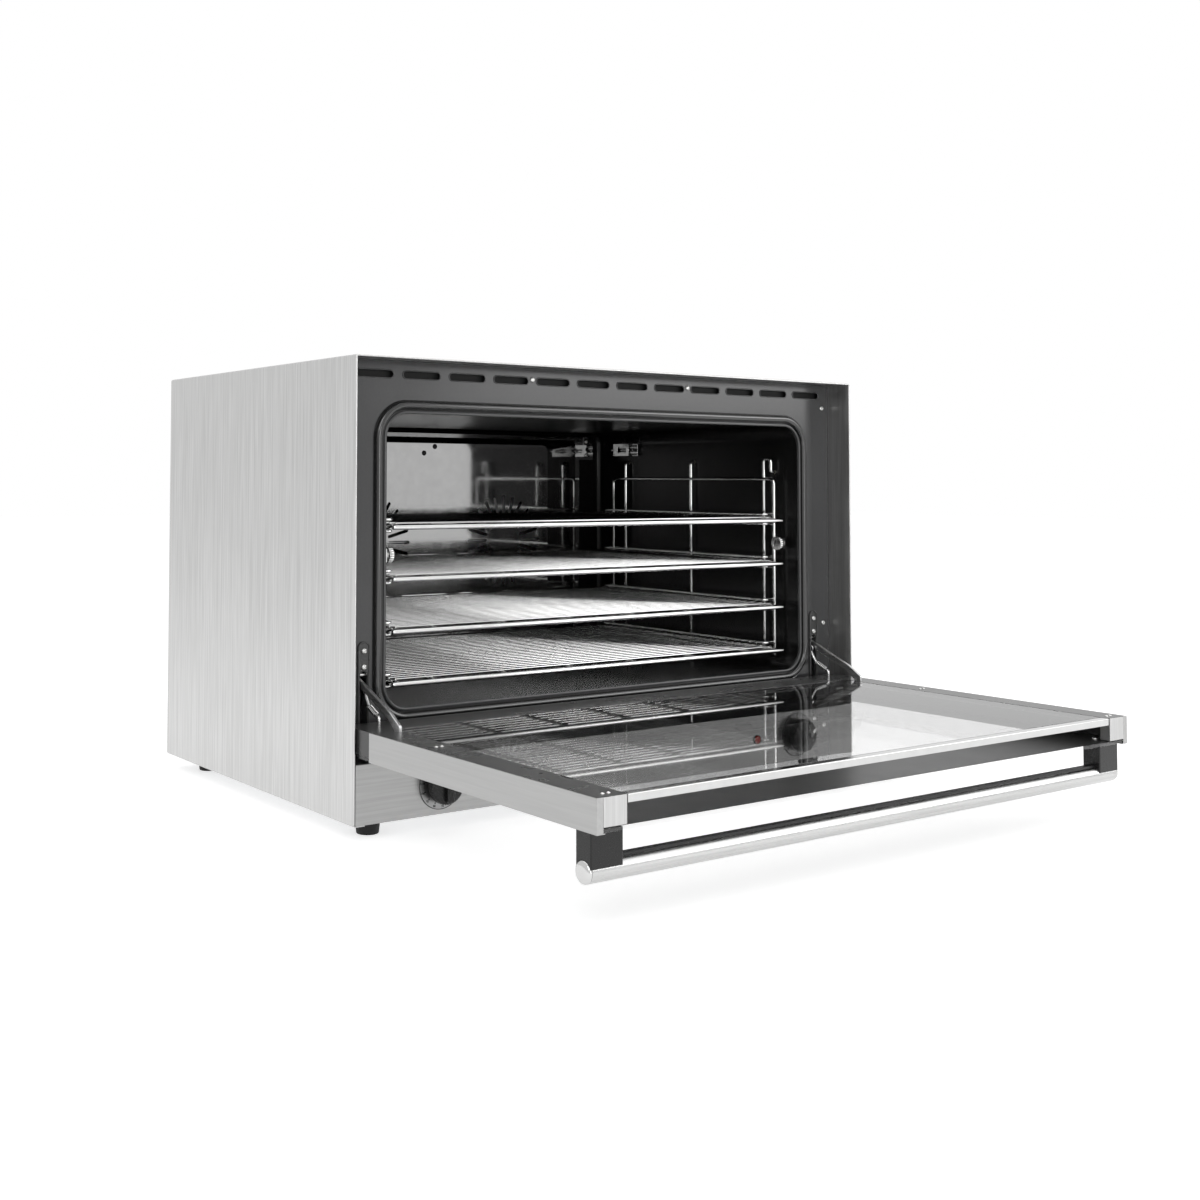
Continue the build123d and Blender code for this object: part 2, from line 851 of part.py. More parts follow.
def cavity_liner():
    """The enamelled cavity: a rounded tube with a back, a front flange, posts and studs."""
    liner = upright(liner_face(liner_sheet), frame_back, liner_rear)
    liner += upright(liner_face(liner_sheet + liner_flange), frame_back, frame_back + liner_sheet)
    liner -= upright(liner_face(0), frame_back - sink, liner_back)
    seat = baffle_rear + baffle_sheet
    for x, z in baffle_screw_points():
        liner += rod_along_y(seat, liner_back, x, z, post_radius)
        liner -= rod_along_y(seat - sink, seat + 2 * screw_length, x, z, screw_hole)
    tip = frame_x - nut_tab_sheet / 2 - nut_collar[1] - nut_length + sink + stud_gap
    for side in (-1, 1):
        liner += rod_along_x(side * liner_half, side * tip, nut_y, nut_z, stud_radius)
    through = (liner_back - sink, liner_rear + sink)
    for x in fan_centres:
        liner -= rod_along_y(*through, x, opening_middle, shaft_hole)
    for x, z in element_leg_points():
        liner -= rod_along_y(*through, x, z, element_tube + fit_gap)
    wall = liner_half + liner_sheet + sink
    for y, z in peg_points():
        liner -= rod_along_x(-wall, wall, y, z, support_wire + fit_gap)
    liner -= rod_along_y(*through, *steam_place, steam_radius - steam_wall)
    return liner - rod_along_x(liner_half - sink, wall, bulb_exit, bulb_z, capillary_hole)


def insulation_wrap():
    """A mineral-wool blanket round the cavity and over its back."""
    gap = liner_sheet + fit_gap
    rear = liner_rear + insulation
    wool = upright(liner_face(gap + insulation), frame_back + frame_flange + fit_gap, rear)
    wool -= upright(liner_face(gap), frame_back, liner_rear)
    window = rounded(
        fan_spacing + 2 * (motor_radius + wool_window),
        2 * (element_radius + wool_window),
        wool_corner,
        opening_middle,
    )
    wool -= upright(window, liner_rear - sink, rear + sink)
    wool -= rod_along_y(liner_rear - sink, rear + sink, *steam_place, steam_radius + fit_gap)
    far = liner_half + gap + insulation + sink
    return wool - rod_along_x(liner_half, far, bulb_exit, bulb_z, 2 * capillary_radius)


def element_start():
    """Ring angle at which a heater's ring begins, so that its legs stand at their places."""
    return asin((element_leg + element_stub) / element_radius)


def element_foot():
    """Height of the ends of a heater's ring."""
    return opening_middle - element_radius * cos(element_start())


def element_leg_points():
    """Where the heaters' legs pass through the cavity's back."""
    gap = element_start()
    reach = element_radius * sin(gap) - element_stub * cos(gap)
    low = element_foot() - element_stub * sin(gap)
    return [(x + side * reach, low) for x in fan_centres for side in (-1, 1)]


def element(x):
    """A ring heater about a fan, with both ends bent back through the cavity's back."""
    gap = element_start()
    plane = Plane(origin=(x, baffle_rear, opening_middle), x_dir=(1, 0, 0), z_dir=(0, -1, 0))
    ring = plane * CenterArc((0, 0), element_radius, -90 + degrees(gap), 360 - 2 * degrees(gap))
    ends = []
    for side in (-1, 1):
        turn = Vector(-side * cos(gap), 0, -sin(gap)) * element_stub
        tip = Vector(x + side * element_radius * sin(gap), baffle_rear, element_foot())
        corner = tip + turn
        ends.append([Vector(corner.X, liner_back + element_tail, corner.Z), corner, tip])
    left, right = ends
    inward = FilletPolyline(*right, radius=element_bend)
    outward = FilletPolyline(*left[::-1], radius=element_bend)
    path = Wire(inward.edges() + [ring.edge()] + outward.edges())
    return sweep(Plane(origin=right[0], z_dir=(0, -1, 0)) * Circle(element_tube), path=path)


def baffle_hood(grow, depth):
    """The sloped hood of the baffle, moved out by a distance and back by a depth."""
    height = opening_height - 2 * baffle_gap
    front = rounded(
        2 * (liner_half - baffle_inset - baffle_slope + grow),
        height - 2 * (baffle_field_margin - grow),
        baffle_field_corner + grow,
        opening_middle,
    )
    foot = rounded(
        2 * (baffle_half - baffle_edge + grow),
        height - 2 * (baffle_corner - grow),
        baffle_field_corner + grow,
        opening_middle,
    )
    return loft([facing_front(baffle_front + depth) * front, facing_front(baffle_rear + depth) * foot])


def fan_baffle():
    """The cover in front of the fans: a sloped hood with two round grilles, and four tabs."""
    height = opening_height - 2 * baffle_gap
    rear = (baffle_rear, baffle_rear + baffle_sheet)
    plate = rounded(2 * baffle_half, height, baffle_corner, opening_middle)
    baffle = baffle_hood(0, 0) + upright(plate, *rear)
    baffle -= baffle_hood(-baffle_sheet * 0.6, baffle_sheet)
    for x, z in post_points():
        inner = x - tab_overlap / 2 if x > 0 else x + tab_overlap / 2
        tab = Pos(inner, z) * Rectangle(tab_length + tab_overlap, tab_height)
        baffle += upright(tab, *rear)
    for x, z in baffle_screw_points():
        baffle -= rod_along_y(rear[0] - sink, rear[1] + sink, x, z, screw_hole)
    for x in fan_centres:
        for i in range(grille_slots):
            turn = Rot(0, 0, 360.0 / grille_slots * i)
            cut = Pos(x, opening_middle) * turn * Pos(grille_radius, 0) * SlotOverall(*grille_slot)
            baffle -= upright(cut, baffle_front - sink, baffle_front + baffle_sheet + sink)
    return baffle


def fan(x):
    """A radial impeller: a hub, a back disc and straight blades."""
    front = fan_back - fan_depth
    wheel = rod_along_y(fan_back - fan_disc, fan_back, x, opening_middle, fan_radius)
    wheel += rod_along_y(front, fan_back, x, opening_middle, fan_hub_radius)
    length = fan_radius - fan_hub_radius - fan_blade_root
    middle = fan_radius - length / 2 - fan_disc
    for i in range(fan_blades):
        turn = Pos(x, opening_middle) * Rot(0, 0, 360.0 / fan_blades * i)
        blade = turn * Pos(middle, 0) * Rectangle(length, fan_blade_sheet)
        wheel += upright(blade, front, fan_back - fan_disc / 2)
    bore = shaft_radius + press_gap
    return wheel - rod_along_y(front - sink, fan_back + sink, x, opening_middle, bore)


def fan_shaft(x):
    """The motor shaft that carries an impeller, with the nut that holds it."""
    hub = fan_back - fan_depth
    radius, height = shaft_nut
    shaft = rod_along_y(hub - height, liner_rear + motor_depth, x, opening_middle, shaft_radius)
    nut = facing_front(hub) * Pos(x, opening_middle) * RegularPolygon(radius, 6)
    return shaft + extrude(nut, amount=height)


def fan_motor(x):
    """A flat motor: mounting plate, laminated frame, coil and rear bearing bridge."""
    middle = opening_middle
    width = 2 * motor_radius
    bridge_height, bridge_depth = motor_bridge
    coil_width, coil_height = motor_coil
    plate = liner_rear + motor_plate
    stack = plate + motor_stack
    bridge = liner_rear + motor_depth - bridge_depth
    low = middle - 0.75 * motor_radius
    motor = rod_along_y(liner_rear, plate, x, middle, motor_radius + 3 * motor_plate)
    outline = RectangleRounded(width, 1.5 * motor_radius, case_round)
    motor += upright(Pos(x, middle) * outline, plate, stack)
    motor += rod_along_y(stack, bridge, x, middle, 0.6 * motor_radius)
    outline = RectangleRounded(width, bridge_height, case_round)
    motor += upright(Pos(x, middle) * outline, bridge, bridge + bridge_depth)
    depth = (plate + motor_coil_inset, stack - motor_coil_inset)
    motor += span(about(x, coil_width), depth, (low - coil_height, low))
    bore = shaft_radius + shaft_clearance
    return motor - rod_along_y(liner_rear - sink, liner_rear + motor_depth + sink, x, middle, bore)


# Rack supports and racks
def runner_loop(level):
    """A rod that stands out from the support's frame and runs along the side of a rack."""
    start = frame_x - support_wire - weld_gap
    corners = [(start, support_front), (runner_x, support_front)]
    corners += [(runner_x, support_rear), (start, support_rear)]
    return bent_rod([(x, y, level) for x, y in corners], runner_bend, runner_wire)


def support_uprights():
    """The tall rods whose tops are hooked into the wall, the first with a hairpin."""
    wall = liner_half + liner_sheet
    first = upright_depths[0]
    bow = peg_height + hairpin_lift
    hairpin = [
        (upright_x, first, support_low),
        (upright_x, first, bow),
        (upright_x, first - hairpin_width, bow),
        (upright_x, first - hairpin_width, hairpin_peg_height),
        (wall, first - hairpin_width, hairpin_peg_height),
    ]
    rods = [bent_rod(hairpin, support_bend, support_wire)]
    for y in upright_depths[1:]:
        path = [(upright_x, y, support_low), (upright_x, y, peg_height), (wall, y, peg_height)]
        rods.append(bent_rod(path, support_bend, support_wire))
    return rods


def nut_tab():
    """The tab of a rack support through which its thumb nut's stud passes."""
    tab = span(
        about(frame_x, nut_tab_sheet),
        (nut_y - nut_tab_half, support_front - support_wire),
        about(nut_z, 2 * nut_tab_half),
    )
    reach = nut_tab_sheet + sink
    return tab - rod_along_x(frame_x - reach, frame_x + reach, nut_y, nut_z, stud_radius + fit_gap)


def rack_support():
    """The right-hand wire ladder that hangs on the cavity's side wall and carries the racks."""
    ends = [(support_front, support_low), (support_front, support_top)]
    ends += [(support_rear, support_top), (support_rear, support_low)]
    frame = bent_rod([(frame_x, y, z) for y, z in ends], support_frame_bend, support_wire)
    pieces = [frame, nut_tab(), *support_uprights()]
    for z in rack_heights:
        pieces.append(runner_loop(z - rack_rod - runner_wire - rack_seat))
        pieces.append(runner_loop(z + rack_rod + 2 * rack_wire + runner_wire + rack_headroom))
    return group(*pieces)


def support_nuts():
    """Knurled thumb nuts that clamp the rack supports."""
    back = frame_x - nut_tab_sheet / 2
    radius, height = nut_collar
    face = back - height
    knurl = Circle(nut_radius)
    for i in range(nut_notches):
        angle = 2 * pi * i / nut_notches
        knurl -= Pos(nut_radius * cos(angle), nut_radius * sin(angle)) * Circle(nut_notch)
    plane = Plane(origin=(face, nut_y, nut_z), x_dir=(0, 1, 0), z_dir=(-1, 0, 0))
    nut = extrude(plane * knurl, amount=nut_length)
    nut += rod_along_x(back, face, nut_y, nut_z, radius)
    bore = stud_radius + stud_gap
    return both_sides(nut - rod_along_x(back + sink, face - nut_length + sink, nut_y, nut_z, bore))


def rack(height):
    """A wire rack: a bent rod frame behind a longer front rod, cross bars and thin wires."""
    low = rack_front + 2 * rack_rod
    half = rack_half - rack_rod
    back = rack_back - rack_rod
    front = rod_along_x(
        -rack_half - rack_rod_overhang,
        rack_half + rack_rod_overhang,
        rack_front + rack_rod,
        height,
        rack_rod,
    )
    front = fillet(front.edges().filter_by(GeomType.CIRCLE), 0.6 * rack_rod)
    corners = [(half, low + weld_gap), (half, back), (-half, back), (-half, low + weld_gap)]
    pieces = [front, bent_rod([(x, y, height) for x, y in corners], rack_corner, rack_rod)]
    bar_height = height + rack_rod - rack_bar - weld_gap
    for i in range(rack_bars):
        x = (i - (rack_bars - 1) / 2) * 2 * half / rack_bars
        pieces.append(
            rod_along_y(low + weld_gap, back - rack_rod - weld_gap, x, bar_height, rack_bar)
        )
    wire_height = height + rack_rod + rack_wire + weld_gap
    first = rack_front + rack_rod + rack_wire_margin
    pitch = (back - rack_wire_margin - first) / (rack_wires - 1)
    for i in range(rack_wires):
        y = first + i * pitch
        pieces.append(rod_along_x(-half - 1, half + 1, y, wire_height, rack_wire))
    return group(*pieces)


# Sensor and electrical fittings
def sensor_capillary():
    """The thermostat's bulb in the cavity, and its thin tube down to the switch."""
    bulb = rod_along_y(bulb_end - bulb_length, bulb_end, bulb_x, bulb_z, bulb_radius)
    side = inner_half - capillary_side
    switch = (knob_centres[1], panel_sheet + thermostat_case[2])
    path = [
        (bulb_x, bulb_end, bulb_z),
        (bulb_x, bulb_exit, bulb_z),
        (side, bulb_exit, bulb_z),
        (side, bulb_exit, capillary_height),
        (side, capillary_turn, capillary_height),
        (switch[0], capillary_turn, capillary_height),
        (*switch, capillary_height),
    ]
    return bulb + bent_rod(path, capillary_bend, capillary_radius)


def sensor_bracket():
    """A folded clip on the cavity wall that guards the bulb."""
    sheet = sensor_bracket_sheet
    wall = liner_half - fit_gap
    inner = wall - sensor_bracket_depth
    start = bulb_end - bulb_length
    fold = (start + sensor_bracket_ends[0], bulb_end - sensor_bracket_ends[1])
    z = about(bulb_z, 2 * sensor_bracket_half)
    clip = span((wall - sheet, wall), (start, bulb_end), z)
    clip += span((inner, wall), fold, z)
    clip -= span(
        (inner + sheet, wall - sheet), (start, bulb_end), (z[0] + sheet, z[1] - sheet)
    )
    window = (fold[0] + sensor_bracket_ends[0], fold[1] - sensor_bracket_ends[1])
    return clip - span((inner - sheet, inner + 2 * sheet), window, about(bulb_z, sensor_bracket_half))


def terminal_block():
    """The mains terminals, on the base panel near the cable gland."""
    width, depth, height = terminal_size
    mouth_width, mouth_depth, mouth_height = terminal_mouth
    x = gland_place[0]
    rear = casing_depth - terminal_setback
    front = rear - depth
    top = base_top + height
    block = span(about(x, width), (front, rear), (base_top, top))
    mouth_z = (top - mouth_height, top + sink)
    for i in range(terminal_ways):
        mouth = about(x + (i - (terminal_ways - 1) / 2) * terminal_pitch, mouth_width)
        block -= span(mouth, (front - sink, front + mouth_depth), mouth_z)
        block -= span(mouth, (rear - mouth_depth, rear + sink), mouth_z)
    return block


def cable_gland():
    """The empty gland in the back panel where a supply cable would enter."""
    inside = casing_depth - back_sheet
    outside = casing_depth + gland_reach
    radius, height = gland_nut
    gland = rod_along_y(inside - gland_tail, casing_depth, *gland_place, gland_neck)
    hexagon = Pos(*gland_place) * RegularPolygon(radius, 6)
    gland += upright(hexagon, inside - height, inside)
    gland += upright(hexagon, casing_depth, casing_depth + height)
    gland += rod_along_y(casing_depth, outside, *gland_place, gland_radius - 1)
    return gland - rod_along_y(inside - 2 * gland_tail, outside + sink, *gland_place, gland_bore)


def steam_pipe():
    """The vent pipe from the cavity's back to the back panel."""
    end = casing_depth + steam_reach
    pipe = rod_along_y(liner_rear, end, *steam_place, steam_radius)
    return pipe - rod_along_y(liner_back, end + sink, *steam_place, steam_radius - steam_wall)


def back_screws():
    """Screws that hold the back panel."""
    places = [(x, casing_depth, z) for x, z in back_screw_points()]
    return group(*[screw(place, (0, 1, 0), back_screw_length) for place in places])


# Hinge pieces fixed to the oven
def hinge_screw_points():
    """Two screws above the arm slot of each hinge plate."""
    return [(s * hinge_centre, pivot_z + rise) for s in (-1, 1) for rise in hinge_screw_rises]


def hinge_plate():
    """The cover plate of a hinge, round at its top, slotted for the arm and the hook."""
    radius = hinge_plate_width / 2
    top = pivot_z + hinge_plate_rise - radius
    face = rectangle(about(hinge_centre, hinge_plate_width), (pivot_z - hinge_plate_drop, top))
    face += Pos(hinge_centre, top) * Circle(radius)
    face -= arm_slot()
    for x, z in hinge_screw_points():
        face -= Pos(x, z) * Circle(screw_hole)
    return upright(face, frame_recess - hinge_plate_sheet, frame_recess)


def stop_place():
    """Centre of the stop pin, just above the arm's inner end when the door is open."""
    (tip_run, tip_rise), (knee_run, knee_rise) = arm_turns[:2]
    slope = (knee_rise - tip_rise) / (knee_run - tip_run)
    lift = (arm_widths[0] / 2 + stop_radius + fit_gap) / hypot(1, slope)
    y = pivot_y + tip_run - stop_setback
    z = pivot_z + tip_rise - stop_setback * slope
    return (y - slope * lift, z + lift)


def hinge_channel():
    """A folded channel behind the frame, open in front, in which the arm swings."""
    half = channel_width / 2
    low = pivot_z - channel_drop
    high = pivot_z + channel_rise
    far = frame_back + channel_depth
    x = about(hinge_centre, channel_width)
    block = span(x, (frame_back, far), (low, high))
    block -= span(
        about(hinge_centre, channel_width - 2 * channel_sheet),
        (frame_back - sink, far - channel_sheet),
        (low + channel_sheet, high - channel_sheet),
    )
    block -= rod_along_x(x[0] - sink, x[1] + sink, *stop_place(), stop_radius + press_gap)
    under = (low - sink, frame_bottom + frame_sheet + fit_gap)
    return block - span((x[0] - sink, x[1] + sink), (frame_back - sink, frame_back + channel_notch), under)


def hinge_stop():
    """A pin across the channel on which the arm comes to rest."""
    return both_sides(rod_along_x(*about(hinge_centre, channel_width), *stop_place(), stop_radius))


def pivot_pins():
    """The two pins that the door turns on, pressed into the frame's lugs."""
    outer = hem_half - lug_gap
    return both_sides(rod_along_x(outer - pin_reach, outer, pivot_y, pivot_z, pin_radius))


# Door, drawn open: its length runs forward from the pivot and its depth runs down
def reach_y(distance):
    """The y of a point at a distance from the pivot towards the door's free end."""
    return pivot_y - distance


def depth_z(depth):
    """The z of a point at a depth below the door's inner face."""
    return door_face_height - depth


def door_block(half, near, far, top, bottom):
    """A centred block of the door: half width, distances from the pivot, and depths."""
    return span((-half, half), (reach_y(far), reach_y(near)), (depth_z(bottom), depth_z(top)))


def door_screw_points():
    """Pairs of screws in the door's border."""
    x = pan_half - border_width / 2
    columns = [s * (x + d) for s in (-1, 1) for d in (-door_screw_spread, door_screw_spread)]
    rows = (reach_y(door_screw_place), reach_y(door_reach - door_screw_end))
    return [(column, row) for column in columns for row in rows]


def arm_foot_span(margin):
    """The y range of an arm's foot, with a margin in front and behind."""
    return about(pivot_y + arm_turns[-1][0], arm_widths[-1] + 2 * margin)


def arm_clip(side):
    """A folded socket inside the pan that holds an arm's foot."""
    cheek = arm_thickness / 2 + arm_gap
    y = arm_foot_span(2 * clip_sheet)
    low = pivot_z + arm_turns[-1][1]
    x = about(side * arm_x, 2 * (cheek + clip_sheet))
    clip = span(x, y, (low - clip_sheet, depth_z(door_sheet / 2)))
    slit = about(side * arm_x, 2 * cheek)
    return clip - span(slit, (y[0] - sink, y[1] + sink), (low, depth_z(0)))


def door_inner_frame():
    """The black inner pan: border, stepped ledge for the glass, sides, heel and mountings."""
    depth = outer_pane[0]
    past = door_reach
    pan = door_block(pan_half, -door_heel, pan_end, 0, depth)
    inside = (door_sheet - door_heel, past, door_sheet, depth + sink)
    pan -= door_block(pan_half - door_sheet, *inside)
    ledge = glass_thickness + glass_gap
    pan += door_block(
        glass_half + door_sheet, heel_border - door_sheet, pan_end, 0, ledge + door_sheet
    )
    below = ledge + 2 * door_sheet
    pan -= door_block(glass_half, heel_border, past, -sink, ledge)
    pan -= door_block(glass_half - ledge_width, heel_border + ledge_width, past, 0, below)
    pan -= door_block(glass_half, pan_end - rail_width, past, -sink, below)
    for side in (-1, 1):
        wall = side * pan_half
        bore = pin_radius + pin_clearance
        inner = wall - side * 2 * door_sheet
        pan -= rod_along_x(inner, wall + side * sink, pivot_y, pivot_z, bore)
        pan += arm_clip(side)
        pan -= span(
            about(side * arm_x, arm_thickness + 2 * arm_gap),
            arm_foot_span(4 * arm_gap),
            (depth_z(2 * door_sheet), depth_z(-sink)),
        )
        hook = (side * (hinge_centre - hook_offset), pivot_y + hook_turns[-1][0])
        pan -= rod((*hook, depth_z(2 * door_sheet)), (*hook, depth_z(-sink)), hook_radius + arm_gap)
    for x, y in door_screw_points():
        pan -= Pos(x, y, depth_z(0)) * Cylinder(screw_hole, 2 * door_sheet + sink)
    return pan


def side_trim():
    """The stainless side of the door, lipped under the outer glass and folded at its end."""
    y = (reach_y(door_reach), reach_y(trim_start))
    full = (depth_z(door_thickness), depth_z(0))
    trim = span((trim_inner, door_half), y, full)
    trim += span((door_half - trim_lip, door_half), y, (full[0], depth_z(outer_pane[1])))
    return trim + span((door_half - trim_fold, door_half), (y[0], y[0] + 1.0), full)


def corner_block():
    """A cast block in a free corner of the door, beside the top rail."""
    inner = glass_half + door_sheet + trim_gap
    y = (reach_y(door_reach - 1.0 - trim_gap), reach_y(door_reach - 1.0 - trim_gap - block_depth))
    low = depth_z(block_height)
    block = span((inner, pan_half - door_sheet - trim_gap), y, (low, depth_z(door_sheet + trim_gap)))
    nose = span(
        (inner, door_half - trim_fold - trim_gap),
        (reach_y(door_reach), y[0]),
        (low, depth_z(2 * trim_gap)),
    )
    rim = nose.faces().sort_by(Axis.Y)[0].edges()
    return block + fillet(rim, block_round * 0.6)


def door_top_rail():
    """The bright rail along the free edge that retains the inner glass."""
    rail = door_block(
        glass_half - 2 * trim_gap, door_reach - rail_width, door_reach - 0.6, 2 * trim_gap, rail_height
    )
    return fillet(rail.edges().filter_by(Axis.X), block_round)


def inner_glass():
    """The inner pane, seated in the pan."""
    far = door_reach - rail_width - glass_gap
    top = 2 * trim_gap
    pane = door_block(
        glass_half - glass_gap, heel_border + glass_gap, far, top, top + glass_thickness
    )
    return chamfer(pane.edges().filter_by(Axis.Z), glass_corner)


def outer_glass():
    """The outer pane, held by the side trims and the handle."""
    half = trim_inner - 2 * trim_gap
    pane = door_block(half, 1 - door_heel, pan_end, *outer_pane)
    for x, y in handle_screw_points():
        pane -= Pos(x, y, depth_z(outer_pane[0])) * Cylinder(screw_hole + 2 * fit_gap, door_thickness)
    return pane


def handle_screw_points():
    """Where the handle brackets are screwed through the outer glass."""
    return [(side * (bracket_near + d), handle_y) for side in (-1, 1) for d in bracket_screws]


def handle_tube():
    """The bright round grip."""
    tube = rod_along_x(-handle_half, handle_half, handle_y, handle_z, handle_radius)
    past = handle_half + sink
    return tube - rod_along_x(-past, past, handle_y, handle_z, handle_radius - handle_wall)


def handle_caps():
    """Domed plugs in both ends of the grip."""
    axis = (handle_y, handle_z)
    plug_radius = handle_radius - handle_wall - press_gap
    plug = rod_along_x(handle_half - handle_plug, handle_half, *axis, plug_radius)
    dome = rod_along_x(handle_half, handle_half + handle_cap, *axis, handle_radius)
    dome = fillet(dome.edges().sort_by(Axis.X)[-1], handle_cap - handle_overhang)
    return both_sides(plug + dome)


def handle_bracket():
    """A moulded bracket between the outer glass and the grip."""
    y = about(handle_y, bracket_depth)
    top = depth_z(outer_pane[1])
    block = span((bracket_near, bracket_far), y, (handle_z + bracket_wrap, top))
    lip = door_half - trim_lip - trim_gap
    block -= span((lip, bracket_far + sink), (y[0] - sink, y[1] + sink), (depth_z(door_thickness), top + 1))
    block = fillet(block.edges().filter_by(Axis.Z), bracket_round)
    past = (bracket_near - sink, bracket_far + sink)
    block -= rod_along_x(*past, handle_y, handle_z, handle_radius + press_gap)
    for x, z in handle_screw_points():
        block -= rod((x, z, top - bracket_screw_length), (x, z, top + sink), screw_hole)
    return block


def handle_backing():
    """The dark strip along the door side of the grip, between the brackets."""
    half = bracket_near - trim_gap
    z = (handle_z + backing_wrap, handle_z + handle_radius + backing_top)
    strip = span((-half, half), about(handle_y, backing_width), z)
    past = half + sink
    return strip - rod_along_x(-past, past, handle_y, handle_z, handle_radius + press_gap)


def edge_points(turns, widths, side):
    """Corners of one edge of a flat strip: its turns moved aside by half of its widths, mitred."""
    points = [Vector(*turn) for turn in turns]
    runs = [(b - a).normalized() for a, b in zip(points, points[1:])]
    corners = []
    for i, (point, width) in enumerate(zip(points, widths)):
        into = runs[max(i - 1, 0)]
        out = runs[min(i, len(runs) - 1)]
        across = Vector(-into.Y - out.Y, into.X + out.X).normalized()
        mitre = across.dot(Vector(-out.Y, out.X))
        corners.append(point + across * (side * width / 2 / mitre))
    return corners


def stay_arm():
    """The flat stay arm: narrow in the slot, wider where it bends down into the door."""
    turns = [(pivot_y + run, pivot_z + rise) for run, rise in arm_turns]
    upper = edge_points(turns, arm_widths, 1)
    lower = edge_points(turns, arm_widths, -1)
    face = outline_of(upper + lower[::-1])
    face = fillet(face.vertices(), arm_round)
    return sideways(face, *about(arm_x, arm_thickness))


def pivot_hook():
    """The round bright hook beside the arm, bent down into the door."""
    x = hinge_centre - hook_offset
    points = [(x, pivot_y + run, pivot_z + rise) for run, rise in hook_turns]
    return both_sides(bent_rod(points, hook_bend, hook_radius))


def balance_springs():
    """The wound springs on the pins inside the door's heel, as plain sleeves."""
    outer = pan_half - door_sheet
    inner = outer - spring_length
    sleeve = rod_along_x(inner, outer, pivot_y, pivot_z, spring_radius)
    bore = pin_radius + fit_gap
    return both_sides(sleeve - rod_along_x(inner - sink, outer + sink, pivot_y, pivot_z, bore))


def door_screws():
    """Small screws in the border of the door."""
    places = [(x, y, depth_z(0)) for x, y in door_screw_points()]
    return group(*[screw(place, (0, 0, 1), sink, door_screw_scale) for place in places])


def handle_screws():
    """Screws that pass through the outer glass into the handle brackets."""
    places = [(x, y, depth_z(outer_pane[0])) for x, y in handle_screw_points()]
    return group(*[screw(place, (0, 0, 1), bracket_screw_length) for place in places])


nodes = {
    "outer_casing": outer_casing(),
    "back_panel": back_panel(),
    "base_panel": base_panel(),
    "front_frame": front_frame(),
    "control_panel": control_panel(),
    "cavity_liner": cavity_liner(),
    "insulation_wrap": insulation_wrap(),
    "door_gasket": door_gasket(),
    "fan_baffle": fan_baffle(),
    "rack_support_left": mirrored(rack_support()),
    "rack_support_right": rack_support(),
    "support_nuts": support_nuts(),
    "heating_elements": group(*[element(x) for x in fan_centres]),
    "fan_motors": group(*[fan_motor(x) for x in fan_centres]),
    "hinge_plates": both_sides(hinge_plate()),
    "hinge_channels": both_sides(hinge_channel()),
    "hinge_stops": hinge_stop(),
    "pivot_pins": pivot_pins(),
    "dial_plates": dials(),
    "timer_body": switch_body(knob_centres[0], timer_case),
    "thermostat_body": switch_body(knob_centres[1], thermostat_case),
    "control_screws": control_screws(),
    "indicator_lens": lamp_lens(),
    "indicator_body": lamp_body(),
    "sensor_capillary": sensor_capillary(),
    "sensor_bracket": sensor_bracket(),
    "terminal_block": terminal_block(),
    "cable_gland": cable_gland(),
    "steam_pipe": steam_pipe(),
    "feet": feet(),
    "foot_screws": foot_screws(),
    "panel_screws": panel_screws(),
    "back_screws": back_screws(),
    "door_inner_frame": door_inner_frame(),
    "door_side_trims": both_sides(side_trim()),
    "corner_blocks": both_sides(corner_block()),
    "door_top_rail": door_top_rail(),
    "inner_glass": inner_glass(),
    "outer_glass": outer_glass(),
    "handle_tube": handle_tube(),
    "handle_caps": handle_caps(),
    "handle_brackets": both_sides(handle_bracket()),
    "handle_backing": handle_backing(),
    "stay_arms": both_sides(stay_arm()),
    "pivot_hooks": pivot_hook(),
    "balance_springs": balance_springs(),
    "door_screws": door_screws(),
    "handle_screws": handle_screws(),
    "timer_knob": knob(knob_centres[0]),
    "timer_spindle": spindle(knob_centres[0]),
    "thermostat_knob": knob(knob_centres[1]),
    "thermostat_spindle": spindle(knob_centres[1]),
}
for side, x in zip(("left", "right"), fan_centres):
    nodes["fan_" + side] = fan(x)
    nodes["fan_shaft_" + side] = fan_shaft(x)
for number, height in enumerate(rack_heights, start=1):
    nodes[f"wire_rack_{number}"] = rack(height)

# Each piece is written in its place, with the origin under the middle of the whole part
os.makedirs("parts", exist_ok=True)
for name, shape in nodes.items():
    export_step(Pos(0, -origin_y, 0) * shape, f"parts/{name}.step")
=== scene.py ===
"""Dresses a countertop convection oven: finishes, rounded sheet metal, wires, controls and glass.

Every length is in metres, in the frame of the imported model: X to the right, Y to the back, Z up.
"""

import json

import bmesh
import bpy
import numpy as np
from bpy.props import FloatProperty, FloatVectorProperty, IntProperty, PointerProperty
from mathutils import Matrix, Vector

